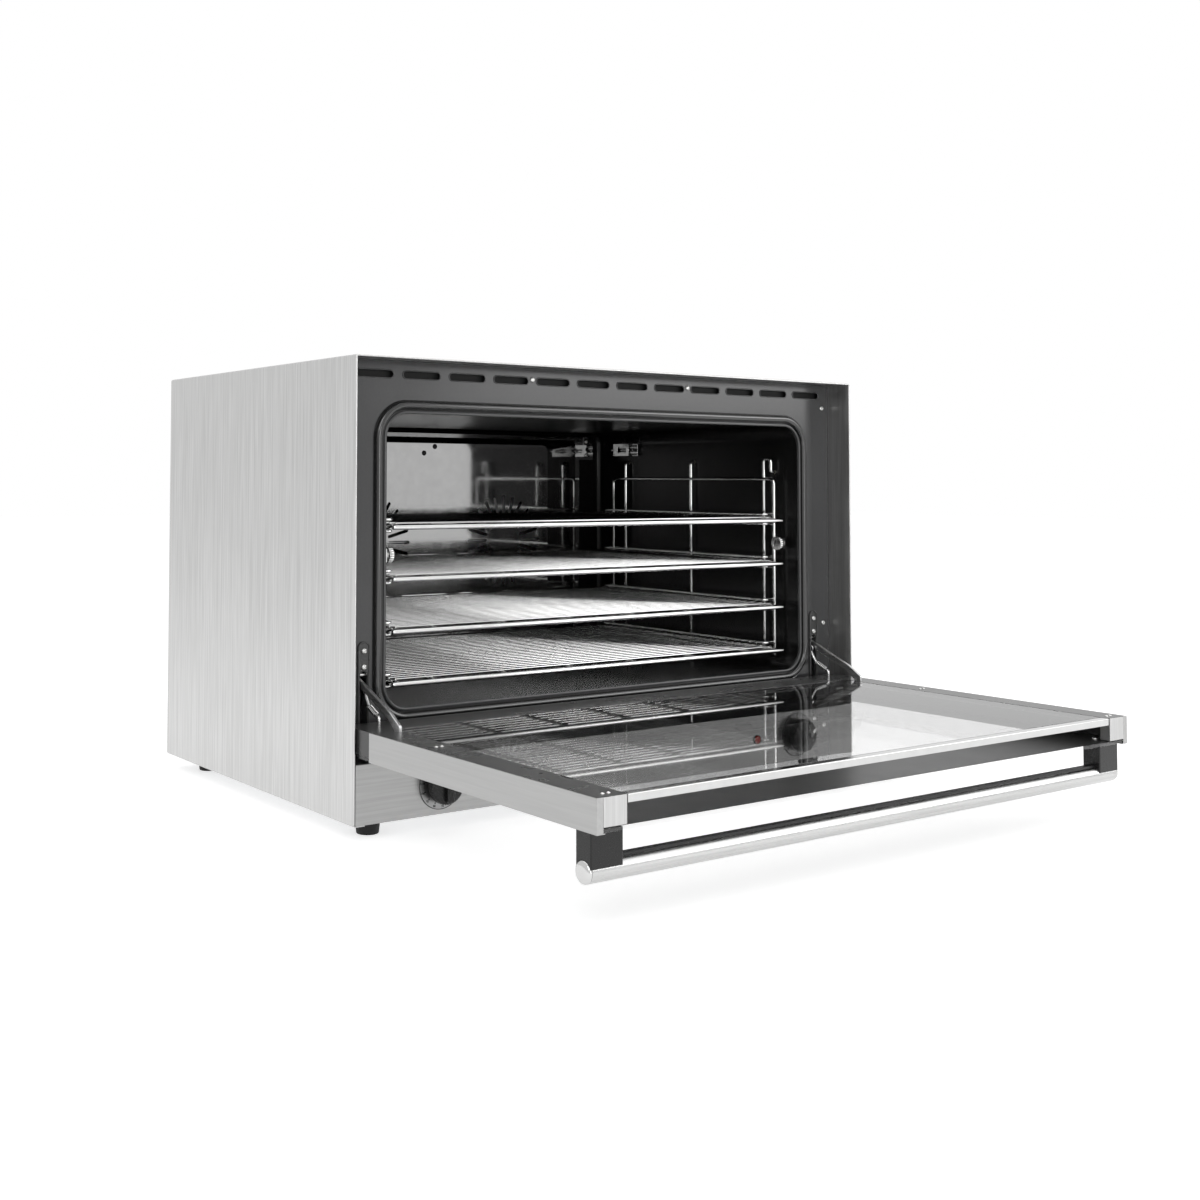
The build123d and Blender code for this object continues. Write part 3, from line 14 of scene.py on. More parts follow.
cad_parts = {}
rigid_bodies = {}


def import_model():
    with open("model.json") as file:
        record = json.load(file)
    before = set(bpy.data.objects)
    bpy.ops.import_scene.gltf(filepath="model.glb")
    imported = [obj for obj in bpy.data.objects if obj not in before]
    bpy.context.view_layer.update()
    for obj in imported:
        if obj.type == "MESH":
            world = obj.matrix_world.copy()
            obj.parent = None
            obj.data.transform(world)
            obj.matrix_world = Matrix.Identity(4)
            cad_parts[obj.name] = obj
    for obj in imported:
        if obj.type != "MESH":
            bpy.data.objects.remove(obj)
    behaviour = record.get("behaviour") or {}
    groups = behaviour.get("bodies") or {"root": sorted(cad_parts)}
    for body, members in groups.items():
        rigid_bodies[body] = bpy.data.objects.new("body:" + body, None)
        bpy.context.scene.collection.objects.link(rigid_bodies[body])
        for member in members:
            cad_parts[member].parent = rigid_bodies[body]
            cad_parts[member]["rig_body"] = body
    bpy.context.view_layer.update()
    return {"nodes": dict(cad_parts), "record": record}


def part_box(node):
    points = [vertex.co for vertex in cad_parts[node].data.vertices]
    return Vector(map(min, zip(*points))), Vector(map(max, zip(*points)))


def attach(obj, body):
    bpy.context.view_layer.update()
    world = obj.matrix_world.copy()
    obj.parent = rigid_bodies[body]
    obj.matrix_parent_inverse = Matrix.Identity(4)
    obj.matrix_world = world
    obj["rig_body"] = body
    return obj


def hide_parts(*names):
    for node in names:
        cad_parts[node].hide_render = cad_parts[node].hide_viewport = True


bl_info = {
    "name": "Convection oven",
    "version": (1, 0, 0),
    "blender": (4, 5, 0),
    "location": "3D View > Sidebar > Oven",
    "description": "Builds the visible surfaces of a countertop convection oven",
    "category": "Object",
}

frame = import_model()
SLOTS = {s["node"]: s["material_slot"] for s in frame["record"]["subparts"]}
MM = 0.001
SIDES = (-1, 1)
RACKS = sorted(n for n in frame["nodes"] if n.startswith("wire_rack_"))
FRONT, BACK, UP = (0, -1, 0), (0, 1, 0), (0, 0, 1)


def corners(node):
    """Lowest and highest corner of a node, as arrays."""
    return tuple(np.array(v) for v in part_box(node))


def solids_of(node):
    """Lowest and highest corner of each separate solid of a node. Points that share an edge take the
    lower of their two numbers, over and over, until each solid has a number of its own."""
    mesh = frame["nodes"][node].data
    points = np.empty(len(mesh.vertices) * 3)
    mesh.vertices.foreach_get("co", points)
    points = points.reshape(-1, 3)
    edges = np.empty(len(mesh.edges) * 2, int)
    mesh.edges.foreach_get("vertices", edges)
    same = np.unique(np.round(points * 1e6).astype(np.int64), axis=0, return_inverse=True)[1].ravel()
    a, b = same[edges].reshape(-1, 2).T
    number = np.arange(same.max() + 1)
    while True:
        lower = np.minimum(number[a], number[b])
        new = number.copy()
        np.minimum.at(new, a, lower)
        np.minimum.at(new, b, lower)
        new = new[new]
        if (new == number).all():
            break
        number = new
    owner = number[same]
    boxes = [(points[owner == n].min(0), points[owner == n].max(0)) for n in np.unique(owner)]
    return sorted(boxes, key=lambda box: tuple(np.round(box[0], 4)))


casing_low, casing_high = corners("outer_casing")
front_y = casing_low[1]
frame_y = corners("hinge_plates")[1][1]
rim_low, rim_high = corners("door_gasket")


# Sizes and colours that a user may change
def length(name, text, value):
    return FloatProperty(name=name, description=text, default=value * MM, unit="LENGTH")


def tone(name, text, value):
    return FloatVectorProperty(name=name, description=text, subtype="COLOR", default=value)


class OvenSizes(bpy.types.PropertyGroup):
    """Sizes of the rounded and wound details."""

    sheet: length("Sheet", "Thickness of the casing's sheet", 1.2)
    bend: length("Bend", "Outer radius of the casing's bends", 3)
    hem: length("Hem", "Depth of the casing's folded front hem", 12)
    lip: length("Lip", "Width of the casing's lips below", 15)
    bead: length("Bead", "Height of the bead round the opening", 3.1)
    gasket: length("Gasket", "Width of the gasket", 12.5)
    gasket_gap: length("Gasket gap", "Distance from the opening to the gasket", 4)
    border: length("Glass border", "Width of the black border printed on the outer pane", 42)
    border_top: length("Top border", "Width of that border along the door's top edge", 95)
    corner: length("Corner", "Radius of the opening's corners", 30)
    vents: IntProperty(name="Air slots", description="Air slots over the opening", default=12, min=1)
    flutes: IntProperty(name="Flutes", description="Flutes round a knob", default=40, min=8)
    knurls: IntProperty(name="Knurls", description="Notches round a thumb nut", default=18, min=8)
    coils: IntProperty(name="Coils", description="Turns of a balance spring", default=7, min=2)


class OvenColours(bpy.types.PropertyGroup):
    """Colours of the finishes."""

    steel: tone("Steel", "Brushed stainless steel", (0.545, 0.545, 0.542))
    grey: tone("Grey enamel", "Enamel of the front frame", (0.042, 0.042, 0.043))
    black: tone("Black enamel", "Enamel of the cavity", (0.006, 0.006, 0.006))
    door: tone("Door black", "Paint of the door's inner frame", (0.035, 0.035, 0.035))
    lamp: tone("Lamp", "Lens of the indicator lamp", (0.5, 0.02, 0.01))


def sizes():
    return bpy.context.scene.oven_sizes


def colours():
    return bpy.context.scene.oven_colours


# Shader expressions
class Link:
    """A socket in a material's tree. Sums, differences and products add Math nodes."""

    def __init__(self, tree, socket=None):
        self.tree = tree
        self.socket = socket

    def add(self, kind, settings=None, sockets=None, out=0):
        """A new node: its settings first, then the values or links of its sockets."""
        node = self.tree.nodes.new(kind)
        for name, value in (settings or {}).items():
            setattr(node, name, value)
        for name, value in (sockets or {}).items():
            if isinstance(value, Link):
                self.tree.links.new(value.socket, node.inputs[name])
            else:
                node.inputs[name].default_value = value
        return Link(self.tree, node.outputs[out] if node.outputs else None)

    def math(self, operation, first, second):
        return self.add("ShaderNodeMath", {"operation": operation}, {0: first, 1: second})

    def __add__(self, other):
        return self.math("ADD", self, other)

    def __radd__(self, other):
        return self.math("ADD", other, self)

    def __sub__(self, other):
        return self.math("SUBTRACT", self, other)

    def __rsub__(self, other):
        return self.math("SUBTRACT", other, self)

    def __mul__(self, other):
        return self.math("MULTIPLY", self, other)

    def __rmul__(self, other):
        return self.math("MULTIPLY", other, self)

    def at_most(self, other):
        """The smaller of two values."""
        return self.math("MINIMUM", self, other)

    def place(self, scale):
        """Object coordinates, scaled."""
        coords = self.add("ShaderNodeTexCoord", out="Object")
        return self.add("ShaderNodeMapping", None, {"Vector": coords, "Scale": scale})

    def noise(self, scale, detail, rough=0.5, stretch=(1, 1, 1)):
        """Smooth noise between 0 and 1, with a scale in waves a metre."""
        where = self.place(tuple(scale * s for s in stretch))
        return self.add(
            "ShaderNodeTexNoise", {"noise_dimensions": "3D"},
            {"Vector": where, "Scale": 1.0, "Detail": detail, "Roughness": rough},
        )

    def blend(self, factor, first, second):
        """A colour between two, by a factor."""
        colour = [c if isinstance(c, Link) else (*c, 1) for c in (first, second)]
        return self.add(
            "ShaderNodeMix", {"data_type": "RGBA"}, {0: factor, 6: colour[0], 7: colour[1]}, out=2
        )

    def bump(self, height, distance, strength):
        """A normal bent by a height between 0 and 1."""
        return self.add(
            "ShaderNodeBump", None, {"Height": height, "Distance": distance, "Strength": strength}
        )


def new_material(name):
    """An empty material and the start of its tree."""
    made = bpy.data.materials.new(name)
    made.use_nodes = True
    made.node_tree.nodes.clear()
    return made, Link(made.node_tree)


def close_material(tree, surface):
    """Ends a material's tree in its output."""
    tree.add("ShaderNodeOutputMaterial", None, {"Surface": surface})


def principled(tree, sockets):
    """The usual shader, with its values or links."""
    return tree.add("ShaderNodeBsdfPrincipled", None, sockets)


def scaled(colour, factor):
    """A colour made darker or lighter, up to white."""
    return tuple(min(1.0, c * factor) for c in colour)


# Brush marks run along an axis: the noise is drawn out 50 times along it
GRAIN = {"x": (0.02, 1, 1), "y": (1, 0.02, 1), "z": (1, 1, 0.02)}


def brushed(name, colour, grain, rough, streak=0.07):
    """Brushed metal: noise drawn out along the grain colours it, roughens it and scratches it."""
    made, tree = new_material(name)
    fine = tree.noise(900, 2, 0.6, GRAIN[grain])
    broad = tree.noise(280, 2, 0.6, GRAIN[grain])
    wide = tree.noise(60, 1, 0.5, GRAIN[grain])
    tones = (fine - 0.5) * 1.6 + (broad - 0.5) * 2.6 + (wide - 0.5) * 0.25 + 0.5
    dark, light = scaled(colour, 1 - 1.7 * streak), scaled(colour, 1 + 1.2 * streak)
    close_material(tree, principled(tree, {
        "Base Color": tree.blend(tones, dark, light),
        "Metallic": 1.0,
        "Roughness": rough + (fine - 0.5) * 0.12 + (broad - 0.5) * 0.08,
        "Normal": tree.bump(fine, 0.015 * MM, 0.3),
    }))
    return made


def polished(name, colour, rough):
    """Plated or polished metal with a faint haze and a few fine pits."""
    made, tree = new_material(name)
    haze = tree.noise(60, 3)
    pits = tree.noise(1800, 2)
    close_material(tree, principled(tree, {
        "Base Color": tree.blend(haze, scaled(colour, 0.9), scaled(colour, 1.05)),
        "Metallic": 1.0,
        "Roughness": rough + (haze - 0.5) * 0.08,
        "Normal": tree.bump(pits, 0.005 * MM, 0.2),
    }))
    return made


def enamel(name, colour, rough, wave=0.1, shine=0.5):
    """Fired enamel: glossy, very slightly wavy, with faint clouds and a fine grain."""
    made, tree = new_material(name)
    ripple = tree.noise(28, 2)
    fine = tree.noise(500, 2)
    cloud = tree.noise(7, 3)
    shade = cloud * 0.7 + fine * 0.3
    close_material(tree, principled(tree, {
        "Base Color": tree.blend(shade, scaled(colour, 0.8), scaled(colour, 1.4)),
        "Specular IOR Level": shine,
        "Roughness": rough + (cloud - 0.5) * 0.08 + (ripple - 0.5) * 0.04,
        "Normal": tree.bump(ripple, wave * MM, 0.12),
    }))
    return made


def moulded(name, colour, rough, shine=0.35):
    """Moulded plastic or rubber with a fine texture."""
    made, tree = new_material(name)
    fine = tree.noise(900, 3)
    cloud = tree.noise(20, 2)
    close_material(tree, principled(tree, {
        "Base Color": tree.blend(cloud, scaled(colour, 0.85), scaled(colour, 1.2)),
        "Specular IOR Level": shine,
        "Roughness": rough + (fine - 0.5) * 0.15,
        "Normal": tree.bump(fine, 0.02 * MM, 0.3),
    }))
    return made


def galvanised(name, colour):
    """Zinc-coated sheet: flat crystals of slightly different greys."""
    made, tree = new_material(name)
    cells = tree.add(
        "ShaderNodeTexVoronoi", {"feature": "F1"},
        {"Vector": tree.place((90, 90, 90)), "Scale": 1.0, "Randomness": 1.0}, out="Color",
    )
    grey = tree.add("ShaderNodeRGBToBW", None, {0: cells})
    fine = tree.noise(700, 2)
    close_material(tree, principled(tree, {
        "Base Color": tree.blend(grey, scaled(colour, 0.86), scaled(colour, 1.08)),
        "Metallic": 1.0,
        "Roughness": 0.38 + (grey - 0.5) * 0.14,
        "Normal": tree.bump(fine, 0.02 * MM, 0.3),
    }))
    return made


def woolly(name, colour):
    """Mineral wool: a coarse felted surface."""
    made, tree = new_material(name)
    fibre = tree.noise(420, 5, 0.7, (1, 0.2, 1))
    close_material(tree, principled(tree, {
        "Base Color": tree.blend(fibre, scaled(colour, 0.55), scaled(colour, 1.15)),
        "Roughness": 0.95,
        "Normal": tree.bump(fibre, 1.2 * MM, 0.8),
    }))
    return made


def pane(name, tint):
    """A clear pane: each face that is met from outside lets light through straight on and mirrors it
    at a grazing angle, with faint smears. Faces met from within let it all through."""
    made, tree = new_material(name)
    smear = tree.noise(14, 3)
    clear = tree.add("ShaderNodeBsdfTransparent", None, {"Color": (*tint, 1)})
    shine = principled(tree, {
        "Base Color": (0.95, 0.95, 0.95, 1),
        "Metallic": 1.0,
        "Roughness": 0.01 + smear * 0.03,
    })
    within = tree.add("ShaderNodeNewGeometry", out="Backfacing")
    fresnel = tree.add("ShaderNodeFresnel", None, {"IOR": 1.5})
    close_material(tree, tree.add(
        "ShaderNodeMixShader", None, {0: fresnel * (1.0 - within), 1: clear, 2: shine}
    ))
    return made


materials = {}


def make_materials():
    """All the finishes of the oven, by the record's slots and some finer names."""
    hue = colours()
    steel = tuple(hue.steel)
    materials.update({
        "casing_steel": brushed("casing_steel", steel, "z", 0.34),
        # Painted shade: the control panel and the door's side trims are the casing's steel darkened
        # to about 0.7, standing in for the darker surroundings they mirror
        "panel_steel": brushed("panel_steel", scaled(steel, 0.71), "x", 0.32, 0.05),
        "trim_steel": brushed("trim_steel", scaled(steel, 0.70), "y", 0.34, 0.03),
        "handle_steel": brushed("handle_steel", scaled(steel, 0.94), "x", 0.26, 0.05),
        "zinc_sheet": galvanised("zinc_sheet", (0.5, 0.51, 0.52)),
        "grey_enamel": enamel("grey_enamel", tuple(hue.grey), 0.2),
        "black_enamel": enamel("black_enamel", tuple(hue.black), 0.24, 0.02, 0.22),
        "cover_gloss": polished("cover_gloss", scaled(steel, 0.75), 0.06),
        "dark_screw": polished("dark_screw", (0.03, 0.03, 0.03), 0.25),
        "duct_grey": moulded("duct_grey", (0.010, 0.010, 0.010), 0.6, shine=0.2),
        "door_black": enamel("door_black", tuple(hue.door), 0.28),
        "border_print": enamel("border_print", (0.02, 0.02, 0.02), 0.3, 0.01),
        "mineral_wool": woolly("mineral_wool", (0.75, 0.70, 0.50)),
        "gasket_rubber": moulded("gasket_rubber", (0.008, 0.008, 0.008), 0.14, shine=0.8),
        "chrome_wire": polished("chrome_wire", (0.76, 0.76, 0.755), 0.12),
        "polished_steel": polished("polished_steel", (0.55, 0.55, 0.547), 0.14),
        "arm_steel": brushed("arm_steel", (0.58, 0.58, 0.58), "y", 0.3),
        "heater_sheath": polished("heater_sheath", (0.12, 0.10, 0.09), 0.5),
        "motor_iron": polished("motor_iron", (0.18, 0.18, 0.19), 0.45),
        "fan_aluminium": polished("fan_aluminium", (0.6, 0.6, 0.6), 0.3),
        "dial_metal": brushed("dial_metal", (0.33, 0.33, 0.33), "x", 0.35, 0.03),
        "dial_ink": moulded("dial_ink", (0.012, 0.012, 0.012), 0.5),
        "knob_ink": moulded("knob_ink", (0.75, 0.75, 0.74), 0.5),
        "cast_corner": brushed("cast_corner", scaled(steel, 0.90), "z", 0.32, 0.05),
        "black_plastic": moulded("black_plastic", (0.009, 0.009, 0.009), 0.28),
        "dark_plastic": moulded("dark_plastic", (0.016, 0.016, 0.017), 0.45),
        "red_lens": moulded("red_lens", tuple(hue.lamp), 0.12),
        "spindle_brass": polished("spindle_brass", (0.7, 0.5, 0.22), 0.3),
        "foot_rubber": moulded("foot_rubber", (0.010, 0.010, 0.010), 0.6),
        "clear_glass": pane("clear_glass", (0.945, 0.945, 0.945)),
        "screw_steel": polished("screw_steel", (0.62, 0.62, 0.61), 0.22),
    })


# Meshes as whole arrays
def grid_faces(rows, columns, wrap_rows=False, wrap_columns=False):
    """Quads of a grid of points, numbered row by row, with closed directions joined up."""
    r = np.arange(rows if wrap_rows else rows - 1)
    c = np.arange(columns if wrap_columns else columns - 1)
    r, c = np.meshgrid(r, c, indexing="ij")
    r2, c2 = (r + 1) % rows, (c + 1) % columns
    quads = np.stack([r * columns + c, r * columns + c2, r2 * columns + c2, r2 * columns + c], -1)
    return quads.reshape(-1, 4).tolist()


def surface(grid, wrap_rows=False, wrap_columns=False, caps=False):
    """Points and faces of a grid of points; caps close the first and last row."""
    rows, columns = grid.shape[:2]
    faces = grid_faces(rows, columns, wrap_rows, wrap_columns)
    if caps:
        faces.append(list(range(columns))[::-1])
        faces.append(list(range((rows - 1) * columns, rows * columns)))
    return grid.reshape(-1, 3), faces


def joined(parts):
    """Several sets of points and faces as one."""
    points, faces, start = [], [], 0
    for p, f in parts:
        points.append(p)
        faces += [[i + start for i in face] for face in f]
        start += len(p)
    return np.concatenate(points), faces


def unit(v):
    """Vectors of length 1."""
    return v / np.maximum(np.linalg.norm(v, axis=-1, keepdims=True), 1e-12)


def rounded_path(points, radius, steps=6, closed=False):
    """Straight runs joined by arcs: each corner is replaced by points of a circle that is tangent to
    both of its runs, at a distance of radius * tan(half the turn) from the corner."""
    p = np.asarray(points, float)
    before, after = np.roll(p, 1, 0), np.roll(p, -1, 0)
    into, out = unit(p - before), unit(after - p)
    turn = np.arccos(np.clip((into * out).sum(-1), -1, 1))
    r = np.broadcast_to(np.asarray(radius, float), turn.shape)
    start = p - into * (r * np.tan(turn / 2))[:, None]
    centre = p + unit(out - into) * (r / np.cos(turn / 2))[:, None]
    angle = turn[:, None] * np.linspace(0, 1, steps + 1)
    radial = unit(start - centre)
    arcs = centre[:, None] + r[:, None, None] * (
        np.cos(angle)[..., None] * radial[:, None] + np.sin(angle)[..., None] * into[:, None]
    )
    if closed:
        return arcs.reshape(-1, p.shape[1])
    return np.concatenate([p[:1], arcs[1:-1].reshape(-1, p.shape[1]), p[-1:]])


def tube(path, radius, sides, closed=False, dome=0.6):
    """A round bar: a circle of the radius stands square to the path at each of its points. Open ends
    are closed by shrinking circles, a quarter ellipse as long as dome times the radius."""
    path = np.asarray(path, float)
    if closed:
        r = np.full(len(path), radius)
        ahead, behind = np.roll(path, -1, 0), np.roll(path, 1, 0)
    else:
        a = np.linspace(0, np.pi / 2, 5)[1:-1]
        head, tail = unit(path[1] - path[0]), unit(path[-2] - path[-1])
        reach = radius * dome
        first = path[0] + head * (reach * (1 - np.cos(a[::-1][:, None])))
        last = path[-1] + tail * (reach * (1 - np.cos(a[:, None])))
        shrink = np.sin(a[::-1])
        path = np.concatenate([first[::-1], [path[0] + head * reach], path[1:-1],
                               [path[-1] + tail * reach], last[::-1]])
        r = np.concatenate([shrink[::-1], np.ones(len(path) - 2 * len(a)), shrink]) * radius
        ahead, behind = np.roll(path, -1, 0), np.roll(path, 1, 0)
        ahead[-1], behind[0] = path[-1], path[0]
    along = unit(ahead - behind)
    aside = unit(np.cross(along, np.array([0.47, 0.61, 0.64])))
    up = np.cross(aside, along)
    a = np.linspace(0, 2 * np.pi, sides, endpoint=False)
    ring = np.cos(a)[None, :, None] * aside[:, None] + np.sin(a)[None, :, None] * up[:, None]
    grid = path[:, None] + r[:, None, None] * ring
    return surface(grid, wrap_rows=closed, wrap_columns=True, caps=not closed)


def straight_rod(low, high, sides, dome):
    """A straight bar that fills a long thin box."""
    size = high - low
    axis = int(np.argmax(size))
    ends = np.array([(low + high) / 2] * 2)
    ends[0, axis], ends[1, axis] = low[axis], high[axis]
    return tube(ends, np.delete(size, axis).min() / 2, sides, dome=dome)


def axes_from(direction):
    """Two unit vectors square to a direction and to each other."""
    d = unit(np.asarray(direction, float))
    side = np.array([0, 0, 1.0]) if abs(d[2]) < 0.9 else np.array([1.0, 0, 0])
    u = unit(np.cross(side, d))
    return u, np.cross(d, u), d


def turned(profile, place, direction, sides, wave=None, hollow=False):
    """A turned piece: each (radius, height) of the profile is carried round the axis. The radius is
    multiplied by wave(angles), one row for each point of the profile, where one is given. A hollow
    piece joins the profile's end to its start; any other is closed by flat caps."""
    u, v, d = axes_from(direction)
    profile = np.asarray(profile, float)
    a = np.linspace(0, 2 * np.pi, sides, endpoint=False)
    r = profile[:, :1] * (np.ones(sides) if wave is None else wave(a))
    ring = np.cos(a)[:, None] * u + np.sin(a)[:, None] * v
    grid = np.asarray(place) + r[..., None] * ring + profile[:, 1, None, None] * d
    return surface(grid, hollow, True, not hollow)


def block(middle, u, v, d, size):
    """A small box about a point, along three directions."""
    s = np.array([(i, j, k) for i in SIDES for j in SIDES for k in SIDES], float) * size / 2
    points = middle + s[:, :1] * u + s[:, 1:2] * v + s[:, 2:] * d
    faces = [[0, 1, 3, 2], [4, 6, 7, 5], [0, 4, 5, 1], [2, 3, 7, 6], [0, 2, 6, 4], [1, 5, 7, 3]]
    return points, faces


def lane(low, high, corner, steps=8):
    """A rounded rectangle, counter-clockwise from its lower left corner, as points of a plane. The
    corner radius is one for all four, or one for each."""
    (x0, z0), (x1, z1) = low, high
    return rounded_path([(x0, z0), (x1, z0), (x1, z1), (x0, z1)], corner, steps, closed=True)


def standing(flat, y):
    """Points in X and Z, stood up at a depth."""
    return np.stack([flat[:, 0], np.full(len(flat), y), flat[:, 1]], -1)


def ring_of(low, high, corner, profile, steps=12):
    """A profile carried round a rounded rectangle in X and Z: each of its points is (outward step,
    depth), so it moves the rectangle's sides and its corner radius by the step."""
    loops = []
    for out, depth in profile:
        flat = lane((low[0] - out, low[1] - out), (high[0] + out, high[1] + out), corner + out, steps)
        loops.append(standing(flat, depth))
    return surface(np.stack(loops), wrap_rows=True, wrap_columns=True)


def swell(width, height, power, count=11):
    """A superellipse's upper half, |x|^power + |y|^power = 1, stretched to a width and a height."""
    a = np.linspace(0, np.pi, count)
    c, s = np.cos(a), np.sin(a)
    x = -np.sign(c) * np.abs(c) ** (2 / power) * width / 2
    return np.stack([x, np.abs(s) ** (2 / power) * height], -1)


SMOOTH = 35.0


def piece(name, parts, body, slot, material=None, replaces=(), smooth=SMOOTH):
    """Makes a mesh object from points and faces, gives it its finish and its body."""
    points, faces = joined(parts)
    mesh = bpy.data.meshes.new(name)
    mesh.from_pydata(points.tolist(), [], faces)
    work = bmesh.new()
    work.from_mesh(mesh)
    bmesh.ops.remove_doubles(work, verts=work.verts, dist=1e-7)
    bmesh.ops.recalc_face_normals(work, faces=work.faces)
    work.to_mesh(mesh)
    work.free()
    dressed(name, mesh, body, slot, material, replaces, smooth)


def dressed(name, mesh, body, slot, material, replaces, smooth):
    """An object for a mesh, shaded smooth up to an angle in degrees, with its finish and its body."""
    mesh.polygons.foreach_set("use_smooth", [True] * len(mesh.polygons))
    mesh.set_sharp_from_angle(angle=np.radians(smooth))
    made = bpy.data.objects.new(name, mesh)
    bpy.context.scene.collection.objects.link(made)
    mesh.materials.clear()
    mesh.materials.append(materials[material or slot])
    if replaces:
        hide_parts(*replaces)
    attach(made, body)
    return made


def softened(node, width, material=None, segments=2):
    """A copy of a solid with its flat faces joined up and its edges rounded to a width."""
    source = frame["nodes"][node]
    work = bmesh.new()
    work.from_mesh(source.data)
    bmesh.ops.remove_doubles(work, verts=work.verts, dist=1e-6)
    bmesh.ops.dissolve_limit(
        work, angle_limit=np.radians(0.5), verts=work.verts, edges=work.edges
    )
    mesh = bpy.data.meshes.new(node + "_dressed")
    work.to_mesh(mesh)
    work.free()
    made = dressed(
        node + "_dressed", mesh, source["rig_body"], SLOTS[node], material, [node], SMOOTH
    )
    bevel = made.modifiers.new("rounded_edges", "BEVEL")
    bevel.width = width
    bevel.segments = segments
    bevel.limit_method = "ANGLE"
    bevel.angle_limit = np.radians(40)
    bevel.harden_normals = True
    made.modifiers.new("flat_faces", "WEIGHTED_NORMAL").keep_sharp = True


# Pieces
class OvenOperator:
    """What all the oven's operators share."""

    bl_options = {"REGISTER", "UNDO"}


class OVEN_OT_finishes(OvenOperator, bpy.types.Operator):
    """Makes the finishes and gives every solid its own."""

    bl_idname = "oven.finishes"
    bl_label = "Finishes"

    def execute(self, context):
        make_materials()
        for name, solid in frame["nodes"].items():
            solid.data.materials.clear()
            solid.data.materials.append(materials[SLOTS[name]])
        return {"FINISHED"}


def casing_lane(inset):
    """The casing's outline in X and Z, moved inwards, from one lower lip round to the other."""
    s = sizes()
    (x0, _, z0), (x1, _, z1) = casing_low, casing_high
    points = [
        (x0 + s.lip, z0 + inset), (x0 + inset, z0 + inset), (x0 + inset, z1 - inset),
        (x1 - inset, z1 - inset), (x1 - inset, z0 + inset), (x1 - s.lip, z0 + inset),
    ]
    return rounded_path(points, max(s.bend - inset, 0.2 * MM), 6)


class OVEN_OT_casing(OvenOperator, bpy.types.Operator):
    """The wrapped casing: its section, a sheet with a round fold and a hem in front, follows the
    outline over both sides and the top. On the lips the hem thins out to nothing."""

    bl_idname = "oven.casing"
    bl_label = "Casing"

    def execute(self, context):
        s = sizes()
        t = s.sheet
        fold = np.linspace(-np.pi / 2, np.pi / 2, 7)
        front = np.stack([front_y + t - np.cos(fold) * t, t + np.sin(fold) * t], -1)
        hem_back = front_y + s.hem
        rear = casing_high[1]
        section = [*front, (hem_back, 2 * t), (hem_back, t), (rear, t), (rear, 0.0)]
        rows = []
        for y, inset in section:
            flat = casing_lane(inset)
            if y < hem_back + t and inset != t:
                on_lip = flat[:, 1] < casing_low[2] + s.bend
                flat = np.where(on_lip[:, None], casing_lane(inset / 2), flat)
            rows.append(standing(flat, y))
        shell = surface(np.stack(rows, 1), wrap_columns=True, caps=True)
        piece("casing_shell", [shell], "oven_body", "casing_steel", replaces=["outer_casing"])
        return {"FINISHED"}


def opening():
    """The opening's corners in X and Z."""
    s = sizes()
    inset = s.gasket_gap + s.gasket
    return rim_low[[0, 2]] + inset, rim_high[[0, 2]] - inset


class OVEN_OT_front(OvenOperator, bpy.types.Operator):
    """The front frame with a round bead about its opening and pressed rims about its air slots."""

    bl_idname = "oven.front"
    bl_label = "Front frame"

    def execute(self, context):
        s = sizes()
        softened("front_frame", 0.3 * MM)
        low, high = opening()
        bead = swell(4.2 * MM, s.bead, 3)
        profile = [(1.5 * MM + x, frame_y - h) for x, h in bead] + [(1.5 * MM, frame_y + 1.4 * MM)]
        piece("opening_bead", [ring_of(low, high, s.corner, profile)], "oven_body", "grey_enamel",
              smooth=60)
        width = casing_high[0] - casing_low[0]
        pitch = (width - 31 * MM) / s.vents
        slot_z = casing_high[2] - 17.5 * MM
        half_length, half_height = (pitch - 13 * MM) / 2, 4.75 * MM
        rims = []
        for i in range(s.vents):
            x = (i - (s.vents - 1) / 2) * pitch
            flat = lane((x - half_length, slot_z - half_height),
                        (x + half_length, slot_z + half_height), half_height - 1e-6)
            rims.append(tube(standing(flat, frame_y - 0.1 * MM), 0.8 * MM, 10, closed=True))
        piece("air_slot_rims", rims, "oven_body", "grey_enamel", smooth=60)
        middle = np.array([0, frame_y + 6 * MM, slot_z])
        plate = block(middle, *np.eye(3), np.array([width - 40 * MM, 1 * MM, 20 * MM]))
        piece("air_duct_wall", [plate], "oven_body", "grey_enamel", "duct_grey")
        return {"FINISHED"}


class OVEN_OT_gasket(OvenOperator, bpy.types.Operator):
    """The hollow round-faced seal about the opening, with a groove beside its crown."""

    bl_idname = "oven.gasket"
    bl_label = "Gasket"

    def execute(self, context):
        s = sizes()
        low, high = opening()
        height = frame_y - rim_low[1]
        crown = swell(s.gasket - 3 * MM, height, 2.4, 13)
        middle = s.gasket_gap + s.gasket / 2
        profile = [(s.gasket_gap, frame_y), (s.gasket_gap, frame_y - 1.6 * MM)]
        profile += [(middle + x, min(frame_y - h, frame_y - 1.0 * MM)) for x, h in crown]
        profile += [(s.gasket_gap + s.gasket, frame_y - 1.6 * MM), (s.gasket_gap + s.gasket, frame_y)]
        piece("gasket_profile", [ring_of(low, high, s.corner, profile)], "oven_body",
              "gasket_rubber", replaces=["door_gasket"], smooth=50)
        return {"FINISHED"}


